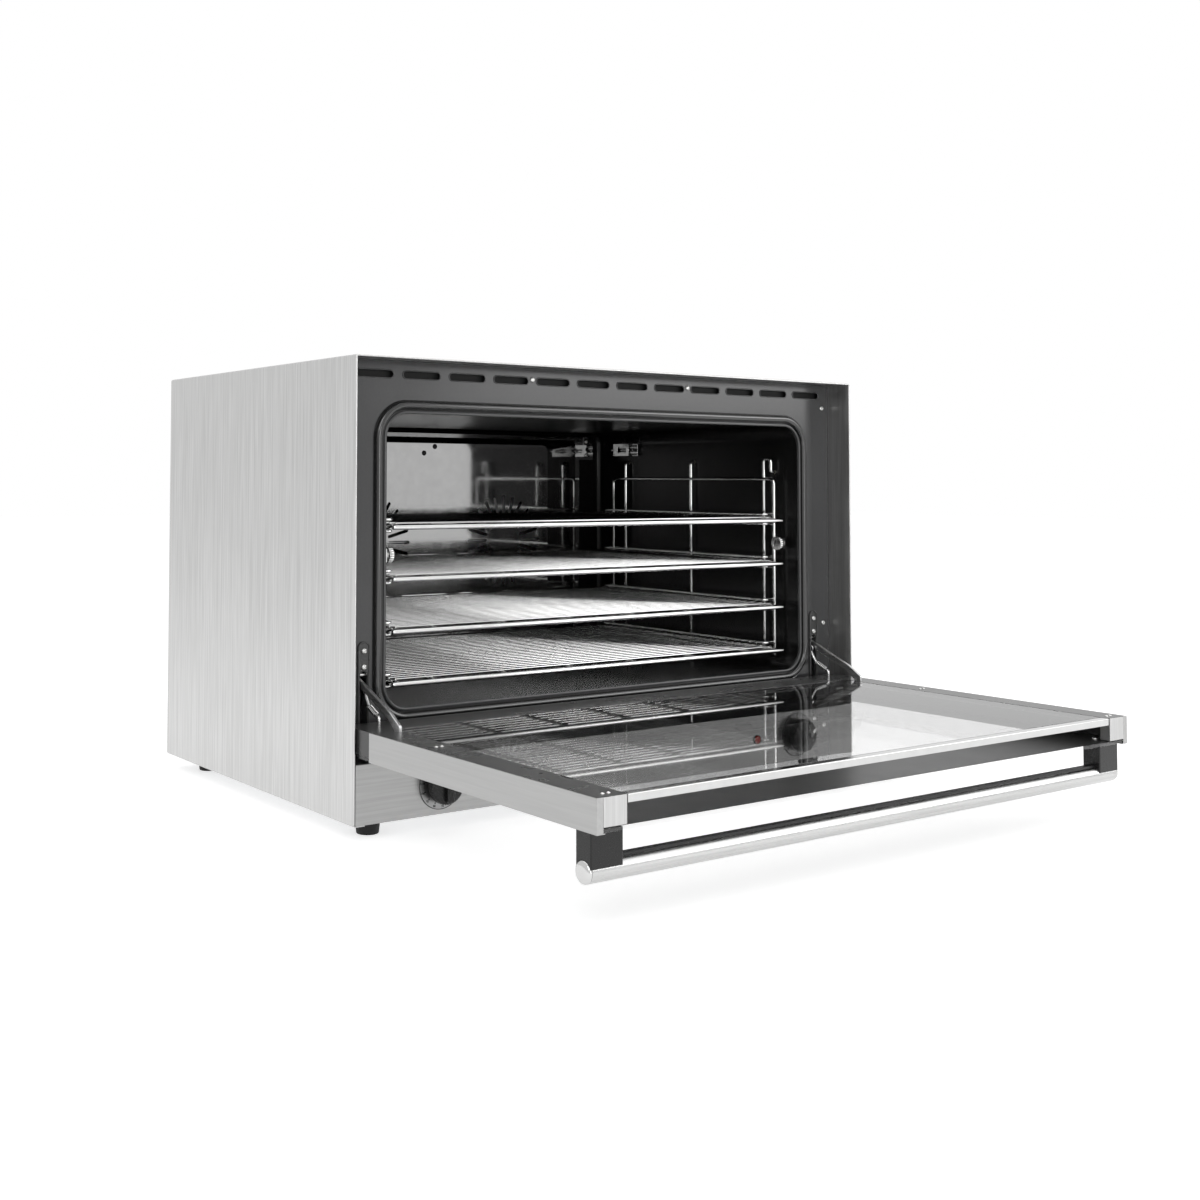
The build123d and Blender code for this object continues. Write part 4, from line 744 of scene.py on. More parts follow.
class OVEN_OT_panel(OvenOperator, bpy.types.Operator):
    """The brushed control panel and the domed lamp lens in its ring."""

    bl_idname = "oven.control_panel"
    bl_label = "Control panel"

    def execute(self, context):
        softened("control_panel", 0.4 * MM, "panel_steel")
        low, high = corners("indicator_lens")
        centre = (low + high) / 2
        r = (high[0] - low[0]) / 2
        tall = front_y - low[1]
        shoulder = 0.4 * MM
        a = np.linspace(0, np.pi / 2, 9)[:-1]
        lens = [(r - 0.6 * MM, -5 * MM), (r - 0.6 * MM, 0.2 * MM)]
        lens += [((r - 0.8 * MM) * np.cos(b), shoulder + (tall - shoulder) * np.sin(b)) for b in a]
        lens += [(0.02 * MM, tall)]
        seat = (centre[0], front_y, centre[2])
        piece("lamp_dome", [turned(lens, seat, FRONT, 40)], "oven_body", "red_lens",
              replaces=["indicator_lens"])
        collar = [(r - 1.1 * MM, 0), (r - 1.1 * MM, 1.2 * MM), (r - 0.7 * MM, 1.6 * MM),
                  (r - 0.2 * MM, 1.5 * MM), (r, 1.1 * MM), (r, 0)]
        piece("lamp_ring", [turned(collar, seat, FRONT, 40, hollow=True)], "oven_body",
              "dark_plastic")
        return {"FINISHED"}


def grip_bar(place, half_width, half_length, low, high):
    """A finger grip: each level is a superellipse |x/w|^5 + |z/l|^5 = 1 that narrows a little
    towards the top, where the levels shrink along a quarter circle."""
    t = np.linspace(0, 1, 5)
    b = np.linspace(0, np.pi / 2, 6)[1:]
    over = 2.0 * MM
    inset = np.concatenate([0.5 * MM * t, 0.5 * MM + over * (1 - np.cos(b))])
    level = np.concatenate([low + (high - over - low) * t, high - over + over * np.sin(b)])
    a = np.linspace(0, 2 * np.pi, 56, endpoint=False)
    c, s = np.cos(a), np.sin(a)
    x = np.sign(c) * np.abs(c) ** 0.4 * (half_width - inset)[:, None]
    z = np.sign(s) * np.abs(s) ** 0.4 * (half_length - inset)[:, None]
    y = -np.broadcast_to(level[:, None], x.shape)
    return surface(np.stack([x, y, z], -1) + place, wrap_columns=True, caps=True)


def lettering(words):
    """Points and faces of short texts that face the front: each is (text, x, y, z, height)."""
    parts = []
    for text, x, y, z, height in words:
        curve = bpy.data.curves.new("text", "FONT")
        curve.body = text
        curve.size = height
        curve.align_x = curve.align_y = "CENTER"
        curve.extrude = 0.03 * MM
        curve.offset = 0.13 * MM
        holder = bpy.data.objects.new("text", curve)
        mesh = bpy.data.meshes.new_from_object(holder)
        points = np.empty(len(mesh.vertices) * 3)
        mesh.vertices.foreach_get("co", points)
        flat = points.reshape(-1, 3)
        stood = np.stack([flat[:, 0] + x, y - flat[:, 2], flat[:, 1] + z], -1)
        parts.append((stood, [list(p.vertices) for p in mesh.polygons]))
        bpy.data.objects.remove(holder)
        bpy.data.curves.remove(curve)
        bpy.data.meshes.remove(mesh)
    return parts


# A dial's rim line, numbers and marks, by their distance from its centre
DIAL_RADIUS = 30 * MM
RIM_RADIUS, NUMBER_RADIUS, MARK_RADIUS = 29.7 * MM, 26.9 * MM, 23.4 * MM
NUMBER_HEIGHT = 3.6 * MM
# The highest value, the step between numbers and the sweep in degrees of each scale
SCALES = {"timer": (120, 10, 300), "thermostat": (300, 50, 270)}


def knob_parts(place, r, tall):
    """A knob's skirt and grip. Where the skirt is fluted, its radius is multiplied by
    1 + 0.012 (cos(flutes * angle) - 1)."""
    skirt = [(r - 6 * MM, 0), (r - 5.5 * MM, 5.2 * MM), (r - 0.8 * MM, 6.6 * MM),
             (r, 7.6 * MM), (r, 8.2 * MM), (r, 14.2 * MM), (r - 0.5 * MM, 15.2 * MM),
             (r - 1.6 * MM, 15.9 * MM), (r - 3 * MM, 16.2 * MM)]
    rows = np.array([0, 0, 0, 0, 1, 1, 0.6, 0, 0])[:, None]
    count = sizes().flutes

    def flutes(a):
        return 1 + rows * 0.012 * (np.cos(count * a) - 1)

    return [turned(skirt, place, FRONT, 160, flutes),
            grip_bar(place, 5.5 * MM, r - 3 * MM, 15.5 * MM, tall)]


def dial_plate(place):
    """A flat plate with a chamfered rim, as a turned profile."""
    profile = [(DIAL_RADIUS - 1.5 * MM, 0), (DIAL_RADIUS, 0), (DIAL_RADIUS, 0.7 * MM),
               (DIAL_RADIUS - 0.3 * MM, 1.0 * MM), (DIAL_RADIUS - 1.5 * MM, 1.0 * MM)]
    return turned(profile, place, FRONT, 96)


def dial_ink(centre, most, step, sweep):
    """A scale's marks, numbers and rim line. A value's angle from the top, clockwise, is the sweep
    times its share of the highest value."""
    marks, words = [], []
    values = np.arange(0, most + step, step)
    for value, angle in zip(values, np.radians(sweep) * values / most):
        outwards = np.array([np.sin(angle), 0, np.cos(angle)])
        along = np.array([np.cos(angle), 0, -np.sin(angle)])
        marks.append(block(centre + outwards * MARK_RADIUS, outwards, along,
                           np.array([0, 1.0, 0]), np.array([1.9, 1.6, 0.1]) * MM))
        words.append((str(value), *(centre + outwards * NUMBER_RADIUS), NUMBER_HEIGHT))
    a = np.linspace(0, 2 * np.pi, 96, endpoint=False)
    rim = np.stack([np.sin(a) * RIM_RADIUS, 0 * a, np.cos(a) * RIM_RADIUS], -1)
    return marks + lettering(words) + [tube(rim + centre, 0.4 * MM, 8, closed=True)]


class OVEN_OT_knobs(OvenOperator, bpy.types.Operator):
    """Two knobs with fluted skirts and finger grips, over round scales with marks and numbers."""

    bl_idname = "oven.knobs"
    bl_label = "Knobs"

    def execute(self, context):
        face_y = corners("dial_plates")[0][1]
        plates, ink = [], []
        for name, (most, step, sweep) in SCALES.items():
            node = name + "_knob"
            body = frame["nodes"][node]["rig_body"]
            low, high = corners(node)
            x, _, z = (low + high) / 2
            place = np.array([x, high[1], z])
            r, tall = (high[0] - low[0]) / 2, high[1] - low[1]
            piece(node + "_turned", knob_parts(place, r, tall), body, "black_plastic",
                  replaces=[node])
            mark = block(place + (0, -tall, 11 * MM), *np.eye(3), np.array([1.3, 0.2, 11]) * MM)
            piece(node + "_mark", [mark], body, "black_plastic", "knob_ink")
            plates.append(dial_plate((x, front_y, z)))
            ink += dial_ink(np.array([x, face_y, z]), most, step, sweep)
        piece("dial_scales", plates, "oven_body", "dial_metal", replaces=["dial_plates"])
        piece("dial_marks", ink, "oven_body", "dial_metal", "dial_ink")
        return {"FINISHED"}


def cross_screw(place, direction, radius, height, shank):
    """A pan-head screw: its height is a flattened dome, 1 - 0.8 t^6 - 0.1 t^2 over the relative
    radius t, less a recess where a point lies within either arm of a cross."""
    u, v, d = axes_from(direction)
    t = np.linspace(0, 1, 13)[:, None]
    a = np.linspace(0, 2 * np.pi, 48, endpoint=False)
    x, y = t * np.cos(a), t * np.sin(a)

    def arm(across, along):
        return (np.clip((0.17 - np.abs(across)) / 0.08 + 0.5, 0, 1)
                * np.clip((0.58 - np.abs(along)) / 0.1 + 0.5, 0, 1))

    lift = 1 - 0.8 * t**6 - 0.1 * t**2 - 0.5 * np.maximum(arm(x, y), arm(y, x))
    rows = np.stack([x * radius, y * radius, lift * height], -1)
    rim = np.stack([np.cos(a), np.sin(a), 0 * a], -1)
    neck = 0.48 * radius
    lower = [rim * radius, rim * neck, rim * neck - np.array([0, 0, shank])]
    flat = np.concatenate([rows, np.stack(lower)])
    grid = np.asarray(place) + flat @ np.stack([u, v, d])
    return surface(grid, wrap_columns=True, caps=True)


class OVEN_OT_screws(OvenOperator, bpy.types.Operator):
    """Pan-head screws with cross recesses in the front, the back and the door."""

    bl_idname = "oven.screws"
    bl_label = "Screws"

    def execute(self, context):
        for node, way in (("panel_screws", FRONT), ("back_screws", BACK), ("door_screws", UP)):
            d = np.array(way, float)
            axis = int(np.argmax(np.abs(d)))
            made = []
            for low, high in solids_of(node):
                size = high - low
                radius = np.delete(size, axis).min() / 2
                height = 0.61 * radius
                place = (low + high) / 2
                place[axis] += d[axis] * (size[axis] / 2 - height)
                made.append(cross_screw(place, d, radius, height, size[axis] - height))
            piece(node + "_crossed", made, frame["nodes"][node]["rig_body"], "screw_steel",
                  replaces=[node], smooth=50)
        return {"FINISHED"}


class OVEN_OT_cavity(OvenOperator, bpy.types.Operator):
    """The enamelled cavity, a cove round its back, and the pressed cover in front of the fans."""

    bl_idname = "oven.cavity"
    bl_label = "Cavity"

    def execute(self, context):
        softened("cavity_liner", 0.4 * MM)
        cover = frame["nodes"]["fan_baffle"].data
        cover.materials.clear()
        cover.materials.append(materials["cover_gloss"])
        slot = SLOTS["fan_baffle"]
        flat_y = corners("fan_baffle")[0][1]
        flange_y = flat_y + 14 * MM
        tab_x, tab_z = 309 * MM, 474 * MM
        tab = block(np.array([tab_x, flange_y, tab_z]), *np.eye(3), np.array([15, 1.2, 38]) * MM)
        bolts = [cross_screw((x * MM, flat_y, z * MM), FRONT, 4 * MM, 2 * MM, 1 * MM)
                 for x, z in ((-8, 464), (-28, 453.6))]
        bolts += [cross_screw((tab_x, flange_y - 0.6 * MM, z * MM), FRONT, 3.5 * MM, 2 * MM, 1 * MM)
                  for z in (464, 485)]
        piece("cover_tab", [tab], "oven_body", slot, "cover_gloss")
        piece("cover_screws", bolts, "oven_body", slot, "dark_screw")
        low, high = corners("cavity_liner")
        inside = 11 * MM
        wall_low, wall_high = low[[0, 2]] + inside, high[[0, 2]] - inside
        back = high[1] - 1 * MM
        reach = 9 * MM
        a = np.linspace(0, np.pi / 2, 9)
        cove = [(-reach * (1 - np.sin(b)), back - reach * (1 - np.cos(b))) for b in a]
        profile = cove + [(0.3 * MM, back + 0.3 * MM), (-reach, back + 0.3 * MM)]
        piece("cavity_cove", [ring_of(wall_low, wall_high, 20 * MM, profile)], "oven_body",
              "black_enamel", smooth=50)
        softened("sensor_bracket", 0.2 * MM)
        return {"FINISHED"}


def loop_path(low, high, radius, across, open_low):
    """A bent rod's centre line that runs along three sides of a flat box. The open side faces the
    low or the high end of the box's first long direction."""
    middle = (low + high) / 2
    long, wide = [i for i in range(3) if i != across]
    start, end = (low[long], high[long] - radius) if open_low else (high[long], low[long] + radius)
    near, far = low[wide] + radius, high[wide] - radius
    points = np.tile(middle, (4, 1))
    points[:, long] = start, end, end, start
    points[:, wide] = near, near, far, far
    return points


def upright_path(low, high, r, side):
    """An upright's centre line: up beside the racks' ends and over to the wall. An upright whose box
    is wider than a rod first turns forwards and down in a hook."""
    inner = high[0] - r if side < 0 else low[0] + r
    wall = low[0] if side < 0 else high[0]
    top, far, near = high[2] - r, high[1] - r, low[1] + r
    path = [(inner, far, low[2]), (inner, far, top)]
    if high[1] - low[1] > 4 * r:
        drop = top - 20 * MM
        return path + [(inner, near, top), (inner, near, drop), (wall, near, drop)]
    return path + [(wall, far, top)]


def support_rod(low, high, side):
    """One rod of a ladder, told apart by its box: a flat loop that carries a rack, the tall loop
    that joins them, an upright, or a small plate."""
    size = high - low
    long, flat = 100 * MM, 6 * MM
    if size[1] > long and size[2] < flat:
        r = size[2] / 2
        return tube(rounded_path(loop_path(low, high, r, 2, side < 0), 5 * MM, 6), r, 14)
    if size[1] > long:
        r = size[0] / 2
        (y0, z0), (y1, z1) = low[1:] + (r, 0), high[1:] - (r, r)
        x = (low[0] + high[0]) / 2
        path = [(x, y0, z0), (x, y0, z1), (x, y1, z1), (x, y1, z0)]
        return tube(rounded_path(path, 7 * MM, 8), r, 16)
    if size[2] > long:
        r = 2.5 * MM
        return tube(rounded_path(upright_path(low, high, r, side), 5 * MM, 8), r, 16)
    return block((low + high) / 2, *np.eye(3), size)


def thumb_nut(low, high):
    """A knurled nut, a little wider than its solid. Where it is knurled, its radius is multiplied by
    1 - 0.07 |sin(knurls * angle / 2)|^6."""
    notches = sizes().knurls
    wider = 1.45
    side = np.sign(low[0] + high[0])
    _, y, z = (low + high) / 2
    r = (high[2] - low[2]) / 2
    wall = high[0] if side > 0 else low[0]
    profile = [(4.5, 0), (4.5, 3), (6.2, 3), (6.9, 3.5), (7, 4.2), (7, 8.8), (6.8, 9.4),
               (6.2, 9.9), (4.2, 10), (4.0, 9.6), (0.05, 9.6)]
    profile = np.array(profile) * MM * [wider * r / (7 * MM), 1]
    rows = np.array([0, 0, 0, 0.7, 1, 1, 0.7, 0, 0, 0, 0])[:, None]

    def knurl(a):
        return 1 - rows * 0.07 * np.abs(np.sin(notches * a / 2)) ** 6

    return turned(profile, (wall, y, z), (-side, 0, 0), notches * 8, knurl)


class OVEN_OT_supports(OvenOperator, bpy.types.Operator):
    """The wire ladders at the cavity's walls, bent rod by rod, and their knurled thumb nuts."""

    bl_idname = "oven.supports"
    bl_label = "Rack supports"

    def execute(self, context):
        for side, name in zip(SIDES, ("rack_support_left", "rack_support_right")):
            rods = [support_rod(low, high, side) for low, high in solids_of(name)]
            piece(name + "_rods", rods, "oven_body", "chrome_wire", replaces=[name])
        nuts = [thumb_nut(low, high) for low, high in solids_of("support_nuts")]
        piece("thumb_nuts", nuts, "oven_body", "polished_steel", replaces=["support_nuts"])
        return {"FINISHED"}


class OVEN_OT_racks(OvenOperator, bpy.types.Operator):
    """The chromed racks: a front rod with round ends, a bent frame, bars and thin wires."""

    bl_idname = "oven.racks"
    bl_label = "Racks"

    def execute(self, context):
        for node in RACKS:
            rods = []
            for low, high in solids_of(node):
                size = high - low
                if min(size[0], size[1]) > 50 * MM:
                    r = size[2] / 2
                    z = (low[2] + high[2]) / 2
                    x0, x1, y1 = low[0] + r, high[0] - r, high[1] - r
                    path = [(x1, low[1], z), (x1, y1, z), (x0, y1, z), (x0, low[1], z)]
                    rods.append(tube(rounded_path(path, 9 * MM, 10), r, 18))
                else:
                    rods.append(straight_rod(low, high, 18, 1.0))
            body = frame["nodes"][node]["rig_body"]
            piece(node + "_wires", rods, body, "chrome_wire", replaces=[node])
        return {"FINISHED"}


def plate_borders(low, high):
    """The raised lines along a hinge plate's edge and round its slot."""
    half = (high[0] - low[0]) / 2
    middle = (low[0] + high[0]) / 2
    y = low[1] - 0.1 * MM
    corner_radii = [1.5 * MM, 1.5 * MM, half - 1.001 * MM, half - 1.001 * MM]
    edge = lane((low[0] + MM, low[2] + MM), (high[0] - MM, high[2] - MM), corner_radii)
    r = 5.2 * MM
    half_slot, slot_low, slot_high = r + 0.5 * MM, 108.5 * MM, 188.5 * MM
    slit = lane((middle - half_slot, slot_low), (middle + half_slot, slot_high), r)
    return [tube(standing(edge, y), 0.8 * MM, 10, closed=True),
            tube(standing(slit, y), 0.55 * MM, 8, closed=True)]


def hook_wires(low, high):
    """A pivot hook as a bent rod, the round link at its upper end and the small coil on its slope.
    Ring and coil are circles whose centres stay in place or move along the slope."""
    x = (low[0] + high[0]) / 2
    steps = [(0, 0), (-6.0, -10.5), (-10.0, -16.0), (-32.5, -26.5), (-32.5, -46.6)]
    start_y, start_z = high[1] - 1.6 * MM, high[2] - 1.2 * MM
    path = np.array([(x, start_y + b * MM, start_z + h * MM) for b, h in steps])
    path[-1, 2] = low[2]
    eye_radius, coil_radius, turns = 3.6 * MM, 3.0 * MM, 7
    a = np.linspace(0, 2 * np.pi, 28, endpoint=False)
    ring = np.stack([0 * a, np.cos(a) * eye_radius, 3.2 * MM + np.sin(a) * eye_radius], -1)
    start, end = 0.05, 0.8
    t = np.linspace(start, end, turns * 16)
    way = path[3] - path[2]
    u, v, _ = axes_from(way)
    a = 2 * np.pi * turns * t / (end - start)
    coil = path[2] + t[:, None] * way
    coil = coil + coil_radius * (np.cos(a)[:, None] * u + np.sin(a)[:, None] * v)
    return [tube(rounded_path(path, 3.5 * MM, 8), 2 * MM, 16),
            tube(path[0] + ring, 1.2 * MM, 10, closed=True), tube(coil, 0.8 * MM, 8)]


def spring_coil(low, high):
    """A wound spring that fills its box: a circle in Y and Z that moves on along X."""
    turns = sizes().coils
    wire = 1.1 * MM
    r = (high[2] - low[2]) / 2 - wire
    _, y, z = (low + high) / 2
    t = np.linspace(0, 1, turns * 24)
    a = 2 * np.pi * turns * t
    x = low[0] + wire + (high[0] - low[0] - 2 * wire) * t
    return tube(np.stack([x, y + r * np.cos(a), z + r * np.sin(a)], -1), wire, 10)


class OVEN_OT_hinges(OvenOperator, bpy.types.Operator):
    """The slotted hinge plates with raised borders, the stay arms, hooks and balance springs."""

    bl_idname = "oven.hinges"
    bl_label = "Hinges"

    def execute(self, context):
        softened("hinge_plates", 0.3 * MM)
        softened("stay_arms", 0.8 * MM, segments=3)
        borders = [line for box in solids_of("hinge_plates") for line in plate_borders(*box)]
        piece("hinge_borders", borders, "oven_body", "door_black", smooth=60)
        wires = [wire for box in solids_of("pivot_hooks") for wire in hook_wires(*box)]
        piece("hook_wires", wires, "door", "polished_steel", replaces=["pivot_hooks"])
        springs = [spring_coil(*box) for box in solids_of("balance_springs")]
        piece("spring_coils", springs, "door", "screw_steel", replaces=["balance_springs"])
        return {"FINISHED"}


class OVEN_OT_door(OvenOperator, bpy.types.Operator):
    """The door's black pan, steel sides, corner blocks and rail, with rounded edges."""

    bl_idname = "oven.door"
    bl_label = "Door"

    def execute(self, context):
        softened("door_inner_frame", 0.3 * MM)
        softened("door_side_trims", 0.4 * MM, "trim_steel")
        softened("corner_blocks", 0.5 * MM)
        softened("door_top_rail", 0.5 * MM)
        return {"FINISHED"}


class OVEN_OT_glass(OvenOperator, bpy.types.Operator):
    """The two panes with ground edges, the thin dark seal round the inner one, and the black border
    printed on the outer one: a thin flat ring, wider along the door's top edge."""

    bl_idname = "oven.glass"
    bl_label = "Glass"

    def execute(self, context):
        for node in ("inner_glass", "outer_glass"):
            softened(node, 0.5 * MM)
        seal = 0.45 * MM
        low, high = corners("inner_glass")
        flat = lane(low[:2] - 0.2 * MM, high[:2] + 0.2 * MM, 2 * MM)
        path = np.column_stack([flat, np.full(len(flat), high[2] - seal)])
        piece("glass_seal", [tube(path, seal, 8, closed=True)], "door", "gasket_rubber")
        s = sizes()
        low, high = corners("outer_glass")
        outer = lane(low[:2] + MM, high[:2] - MM, 2 * MM)
        inner = lane(low[:2] + (s.border, s.border_top), high[:2] - s.border, 4 * MM)
        under, over = high[2] + 0.02 * MM, high[2] + 0.08 * MM
        levels = [(outer, under), (inner, under), (inner, over), (outer, over)]
        ring = [np.column_stack([flat, np.full(len(flat), z)]) for flat, z in levels]
        piece("printed_border", [surface(np.stack(ring), True, True)], "door", "gasket_rubber",
              "border_print")
        return {"FINISHED"}


class OVEN_OT_handle(OvenOperator, bpy.types.Operator):
    """The round grip with its domed bright ends, its brackets and the strip behind it."""

    bl_idname = "oven.handle"
    bl_label = "Handle"

    def execute(self, context):
        softened("handle_brackets", 0.8 * MM, segments=3)
        low, high = corners("handle_backing")
        strip = np.array([high[0] - low[0], 8 * MM, 3.6 * MM])
        middle = np.array([0, (low[1] + high[1]) / 2, low[2] + strip[2] / 2])
        piece("handle_strip", [block(middle, *np.eye(3), strip)], "door", SLOTS["handle_backing"],
              replaces=["handle_backing"])
        low, high = corners("handle_tube")
        centre = (low + high) / 2
        r = (high[2] - low[2]) / 2
        run = high[0] - low[0]
        profile = [(r - 1.5 * MM, 0), (r - 0.3 * MM, 0), (r, 0.3 * MM), (r, run - 0.3 * MM),
                   (r - 0.3 * MM, run), (r - 1.5 * MM, run)]
        start = (low[0], centre[1], centre[2])
        piece("handle_grip", [turned(profile, start, (1, 0, 0), 64)], "door", "polished_steel",
              "handle_steel", ["handle_tube"], smooth=40)
        tall = corners("handle_caps")[1][0] - high[0]
        a = np.linspace(0, np.pi / 2, 10)[1:-1]
        edge = r - 0.15 * MM
        skirt = 1.4 * MM
        dome = [(edge - 0.4 * MM, 0.1 * MM), (edge, 0.5 * MM), (edge, skirt)]
        dome += [(edge * np.cos(b) ** 0.6, skirt + (tall - skirt) * np.sin(b)) for b in a]
        dome += [(0.05 * MM, tall)]
        caps = [turned(dome, (x, centre[1], centre[2]), (side, 0, 0), 48)
                for side, x in zip(SIDES, (low[0], high[0]))]
        piece("handle_end_caps", caps, "door", "polished_steel", replaces=["handle_caps"])
        return {"FINISHED"}


class OVEN_OT_feet(OvenOperator, bpy.types.Operator):
    """Tapered rubber feet with rounded toes and a groove below their shoulders."""

    bl_idname = "oven.feet"
    bl_label = "Feet"

    def execute(self, context):
        made = []
        for low, high in solids_of("feet"):
            centre = (low + high) / 2
            top = high[2] - low[2]
            r = (high[0] - low[0]) / 2
            profile = [(3.2, 8), (7, 8), (7, 0.4), (7.4, 0), (11.9, 0), (12.9, 0.4), (13.4, 1.3),
                       (14.2, 9), (14.5, 15.4), (13.9, 16.0), (13.9, 16.6), (14.6, 17.2), (15, 18)]
            profile = np.array([*profile, (15, top / MM), (3.2, top / MM)]) * MM
            profile[:, 0] *= r / (15 * MM)
            made.append(turned(profile, (centre[0], centre[1], low[2]), UP, 48))
        piece("rubber_feet", made, "oven_body", "foot_rubber", replaces=["feet"])
        return {"FINISHED"}


class OVEN_OT_back(OvenOperator, bpy.types.Operator):
    """The back panel, the ribbed cable gland and the rolled lip of the steam outlet."""

    bl_idname = "oven.back"
    bl_label = "Back"

    def execute(self, context):
        softened("back_panel", 0.3 * MM)
        softened("base_panel", 0.4 * MM)
        low, high = corners("cable_gland")
        x, _, z = (low + high) / 2
        place = np.array([x, low[1], z])
        panel = (casing_high[1] - low[1]) / MM + 1.2
        far = (high[1] - low[1]) / MM
        barrel = [(5, 0), (7.8, 0), (7.8, panel), (9, panel), (9, far - 3), (8.6, far - 1.2),
                  (7.2, far - 0.2), (6.4, far), (5, far - 0.8)]
        rows = np.array([0, 0, 0, 0.6, 1, 0.6, 0, 0, 0])[:, None]

        def ribs(a):
            return 1 + rows * 0.03 * (np.cos(18 * a) - 1)

        made = [turned(np.array(barrel) * MM, place, BACK, 144, ribs, hollow=True)]
        nut = [(9.6, 0), (10.7, 0), (11, 0.3), (11, 4.7), (10.6, 5), (9.2, 5), (8.4, 4.9)]
        for start in (panel - 6.2, panel):
            made.append(turned(np.array(nut) * MM, place + (0, start * MM, 0), BACK, 6))
        piece("gland_ribbed", made, "oven_body", "dark_plastic", replaces=["cable_gland"])
        low, high = corners("steam_pipe")
        x, _, z = (low + high) / 2
        run = (high[1] - low[1]) / MM
        pipe = [(9, 0), (10, 0), (10, run - 1), (10.3, run - 0.5), (9.9, run), (9.2, run - 0.3),
                (9, run - 1)]
        outlet = turned(np.array(pipe) * MM, (x, low[1], z), BACK, 40, hollow=True)
        piece("steam_outlet", [outlet], "oven_body", "zinc_sheet", replaces=["steam_pipe"])
        return {"FINISHED"}


class OVEN_OT_stage(OvenOperator, bpy.types.Operator):
    """The pale floor, the lights and the camera at the photograph's viewpoint."""

    bl_idname = "oven.stage"
    bl_label = "Stage"

    def execute(self, context):
        make_floor()
        make_lights()
        make_camera()
        return {"FINISHED"}


def seen(tree):
    """1 for rays that show a surface to the camera, in a mirror or through glass, or else 0."""
    path = tree.tree.nodes.new("ShaderNodeLightPath")
    kinds = ("Is Camera Ray", "Is Glossy Ray", "Is Transmission Ray")
    first, second, third = [Link(tree.tree, path.outputs[kind]) for kind in kinds]
    return (first + second + third).at_most(1.0)


def make_floor():
    """A wide pale floor under the feet. It is white where it is seen, but for the oven's shadow."""
    mesh = bpy.data.meshes.new("pale_floor")
    half = 14.0
    mesh.from_pydata([(-half, -half, 0), (half, -half, 0), (half, half, 0), (-half, half, 0)], [],
                     [(0, 1, 2, 3)])
    floor = bpy.data.objects.new("pale_floor", mesh)
    bpy.context.scene.collection.objects.link(floor)
    made, tree = new_material("floor_white")
    matt = principled(tree, {
        "Base Color": tree.blend(tree.noise(3, 2), (0.78, 0.78, 0.78), (0.82, 0.82, 0.82)),
        "Roughness": 0.95,
        "Specular IOR Level": 0.0,
    })
    glow = tree.add("ShaderNodeEmission", None, {
        "Color": (1, 1, 1, 1), "Strength": seen(tree) * 0.62,
    })
    close_material(tree, tree.add("ShaderNodeAddShader", None, {0: matt, 1: glow}))
    mesh.materials.append(made)


def area_light(name, place, target, size, power):
    """A rectangular lamp that points at a target."""
    data = bpy.data.lights.new(name, "AREA")
    data.shape = "RECTANGLE"
    data.size, data.size_y = size
    data.energy = power
    light = bpy.data.objects.new(name, data)
    bpy.context.scene.collection.objects.link(light)
    light.location = place
    way = Vector(target) - Vector(place)
    light.rotation_euler = way.to_track_quat("-Z", "Y").to_euler()


def make_lights():
    """The lamps and a world that is white where it is seen and dimmer as a light."""
    area_light("key_light", (-2.4, -2.6, 2.4), (0, -0.1, 0.25), (2.2, 2.2), 42)
    area_light("fill_light", (2.8, -1.8, 1.8), (0, 0, 0.25), (2.5, 2.0), 20)
    area_light("top_light", (0.0, 0.2, 3.0), (0, 0, 0.3), (3.0, 3.0), 28)
    area_light("front_light", (0.1, -3.0, 0.5), (0.0, 0.4, 0.42), (0.6, 0.8), 8)
    area_light("side_window", (2.4, -2.6, 1.12), (0, 0, 0.5), (1.6, 0.9), 15)
    world = bpy.data.worlds.new("studio")
    bpy.context.scene.world = world
    world.use_nodes = True
    world.node_tree.nodes.clear()
    tree = Link(world.node_tree)
    soft = tree.add("ShaderNodeBackground", None, {"Color": (1, 1, 1, 1), "Strength": 0.5})
    white = tree.add("ShaderNodeBackground", None, {"Color": (1, 1, 1, 1), "Strength": 1.0})
    mix = tree.add("ShaderNodeMixShader", None, {0: seen(tree), 1: soft, 2: white})
    tree.add("ShaderNodeOutputWorld", None, {"Surface": mix})


VIEW_PLACE = (-1.24188, -1.47576, 0.41018)
VIEW_YAW, VIEW_PITCH, VIEW_ROLL = 0.5935, 0.0438, 0.0036
VIEW_LENS = 43.13
VIEW_SHIFT = (0.1245, -0.1516)


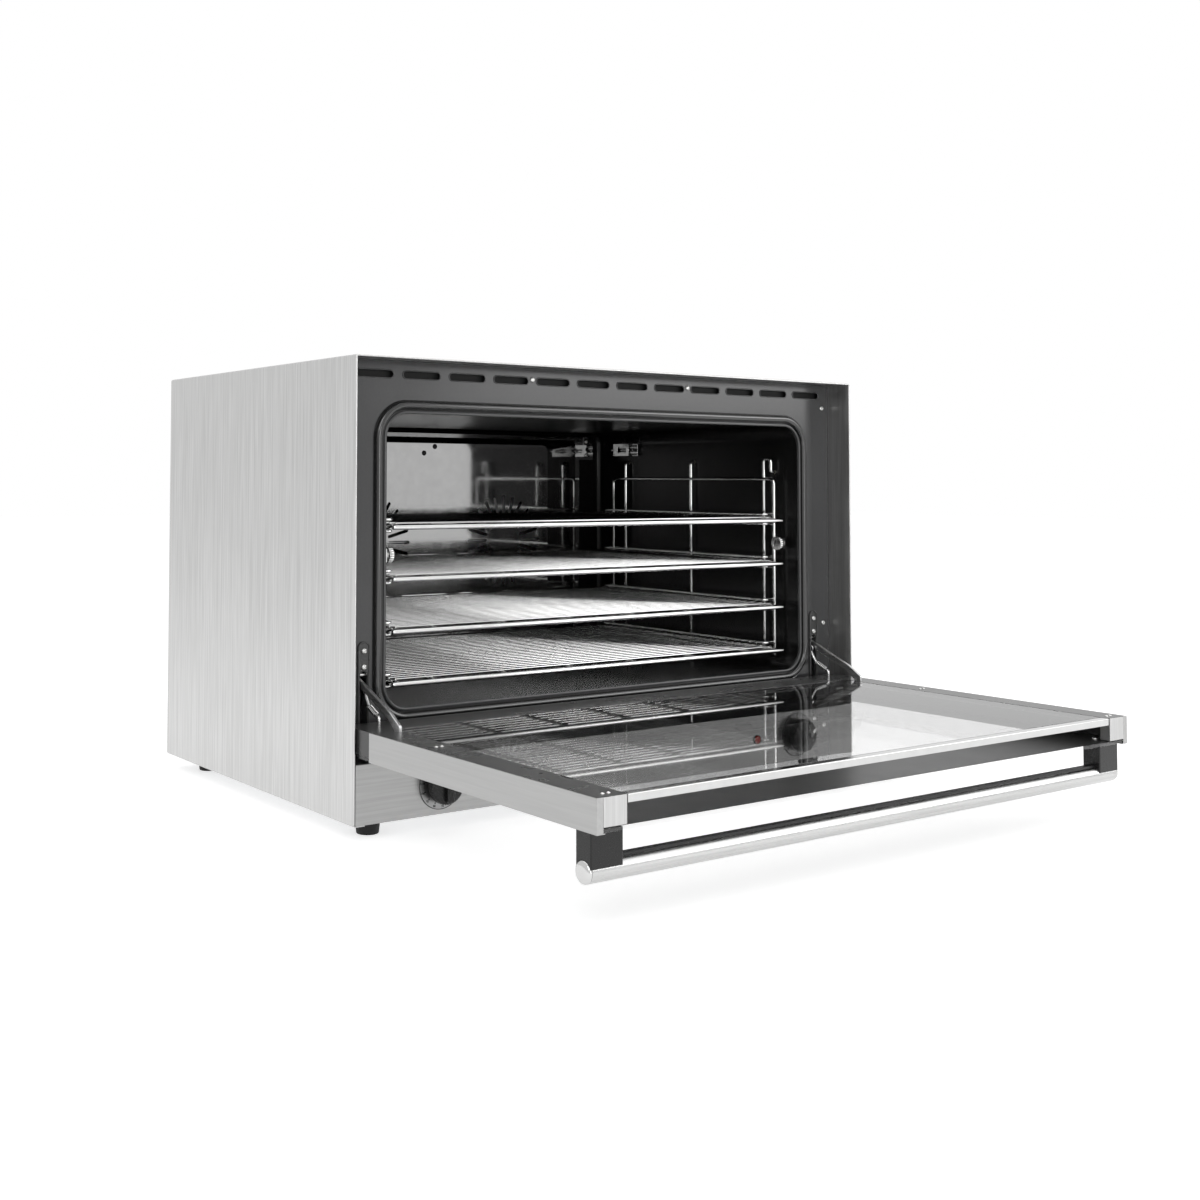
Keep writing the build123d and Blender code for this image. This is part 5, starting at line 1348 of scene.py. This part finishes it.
def make_camera():
    """The viewpoint: yaw turns the view to the right of +Y, pitch lifts it and roll tilts it."""
    data = bpy.data.cameras.new("view")
    data.sensor_width = 36
    data.lens = VIEW_LENS
    data.shift_x, data.shift_y = VIEW_SHIFT
    camera = bpy.data.objects.new("view", data)
    bpy.context.scene.collection.objects.link(camera)
    level = Matrix.Rotation(-VIEW_YAW, 4, "Z") @ Matrix.Rotation(np.pi / 2 + VIEW_PITCH, 4, "X")
    camera.matrix_world = (
        Matrix.Translation(VIEW_PLACE) @ level @ Matrix.Rotation(VIEW_ROLL, 4, "Z")
    )
    bpy.context.scene.camera = camera
    bpy.context.scene.view_settings.view_transform = "Standard"


OPERATORS = [
    OVEN_OT_finishes, OVEN_OT_casing, OVEN_OT_front, OVEN_OT_gasket, OVEN_OT_panel, OVEN_OT_knobs,
    OVEN_OT_cavity, OVEN_OT_supports, OVEN_OT_racks, OVEN_OT_hinges, OVEN_OT_door, OVEN_OT_glass,
    OVEN_OT_handle, OVEN_OT_feet, OVEN_OT_back, OVEN_OT_screws, OVEN_OT_stage,
]


class OVEN_PT_panel(bpy.types.Panel):
    """Lists the oven's sizes, colours and pieces."""

    bl_label = "Convection oven"
    bl_space_type = "VIEW_3D"
    bl_region_type = "UI"
    bl_category = "Oven"

    def draw(self, context):
        for group in (sizes(), colours()):
            for name in group.__annotations__:
                self.layout.prop(group, name)
        for kind in OPERATORS:
            self.layout.operator(kind.bl_idname)


CLASSES = [OvenSizes, OvenColours, *OPERATORS, OVEN_PT_panel]


def register():
    for kind in CLASSES:
        bpy.utils.register_class(kind)
    bpy.types.Scene.oven_sizes = PointerProperty(type=OvenSizes)
    bpy.types.Scene.oven_colours = PointerProperty(type=OvenColours)


def unregister():
    del bpy.types.Scene.oven_sizes
    del bpy.types.Scene.oven_colours
    for kind in reversed(CLASSES):
        bpy.utils.unregister_class(kind)


def main():
    """Builds every piece in order."""
    register()
    for kind in OPERATORS:
        group, name = kind.bl_idname.split(".")
        getattr(getattr(bpy.ops, group), name)()


if __name__ == "__main__":
    main()
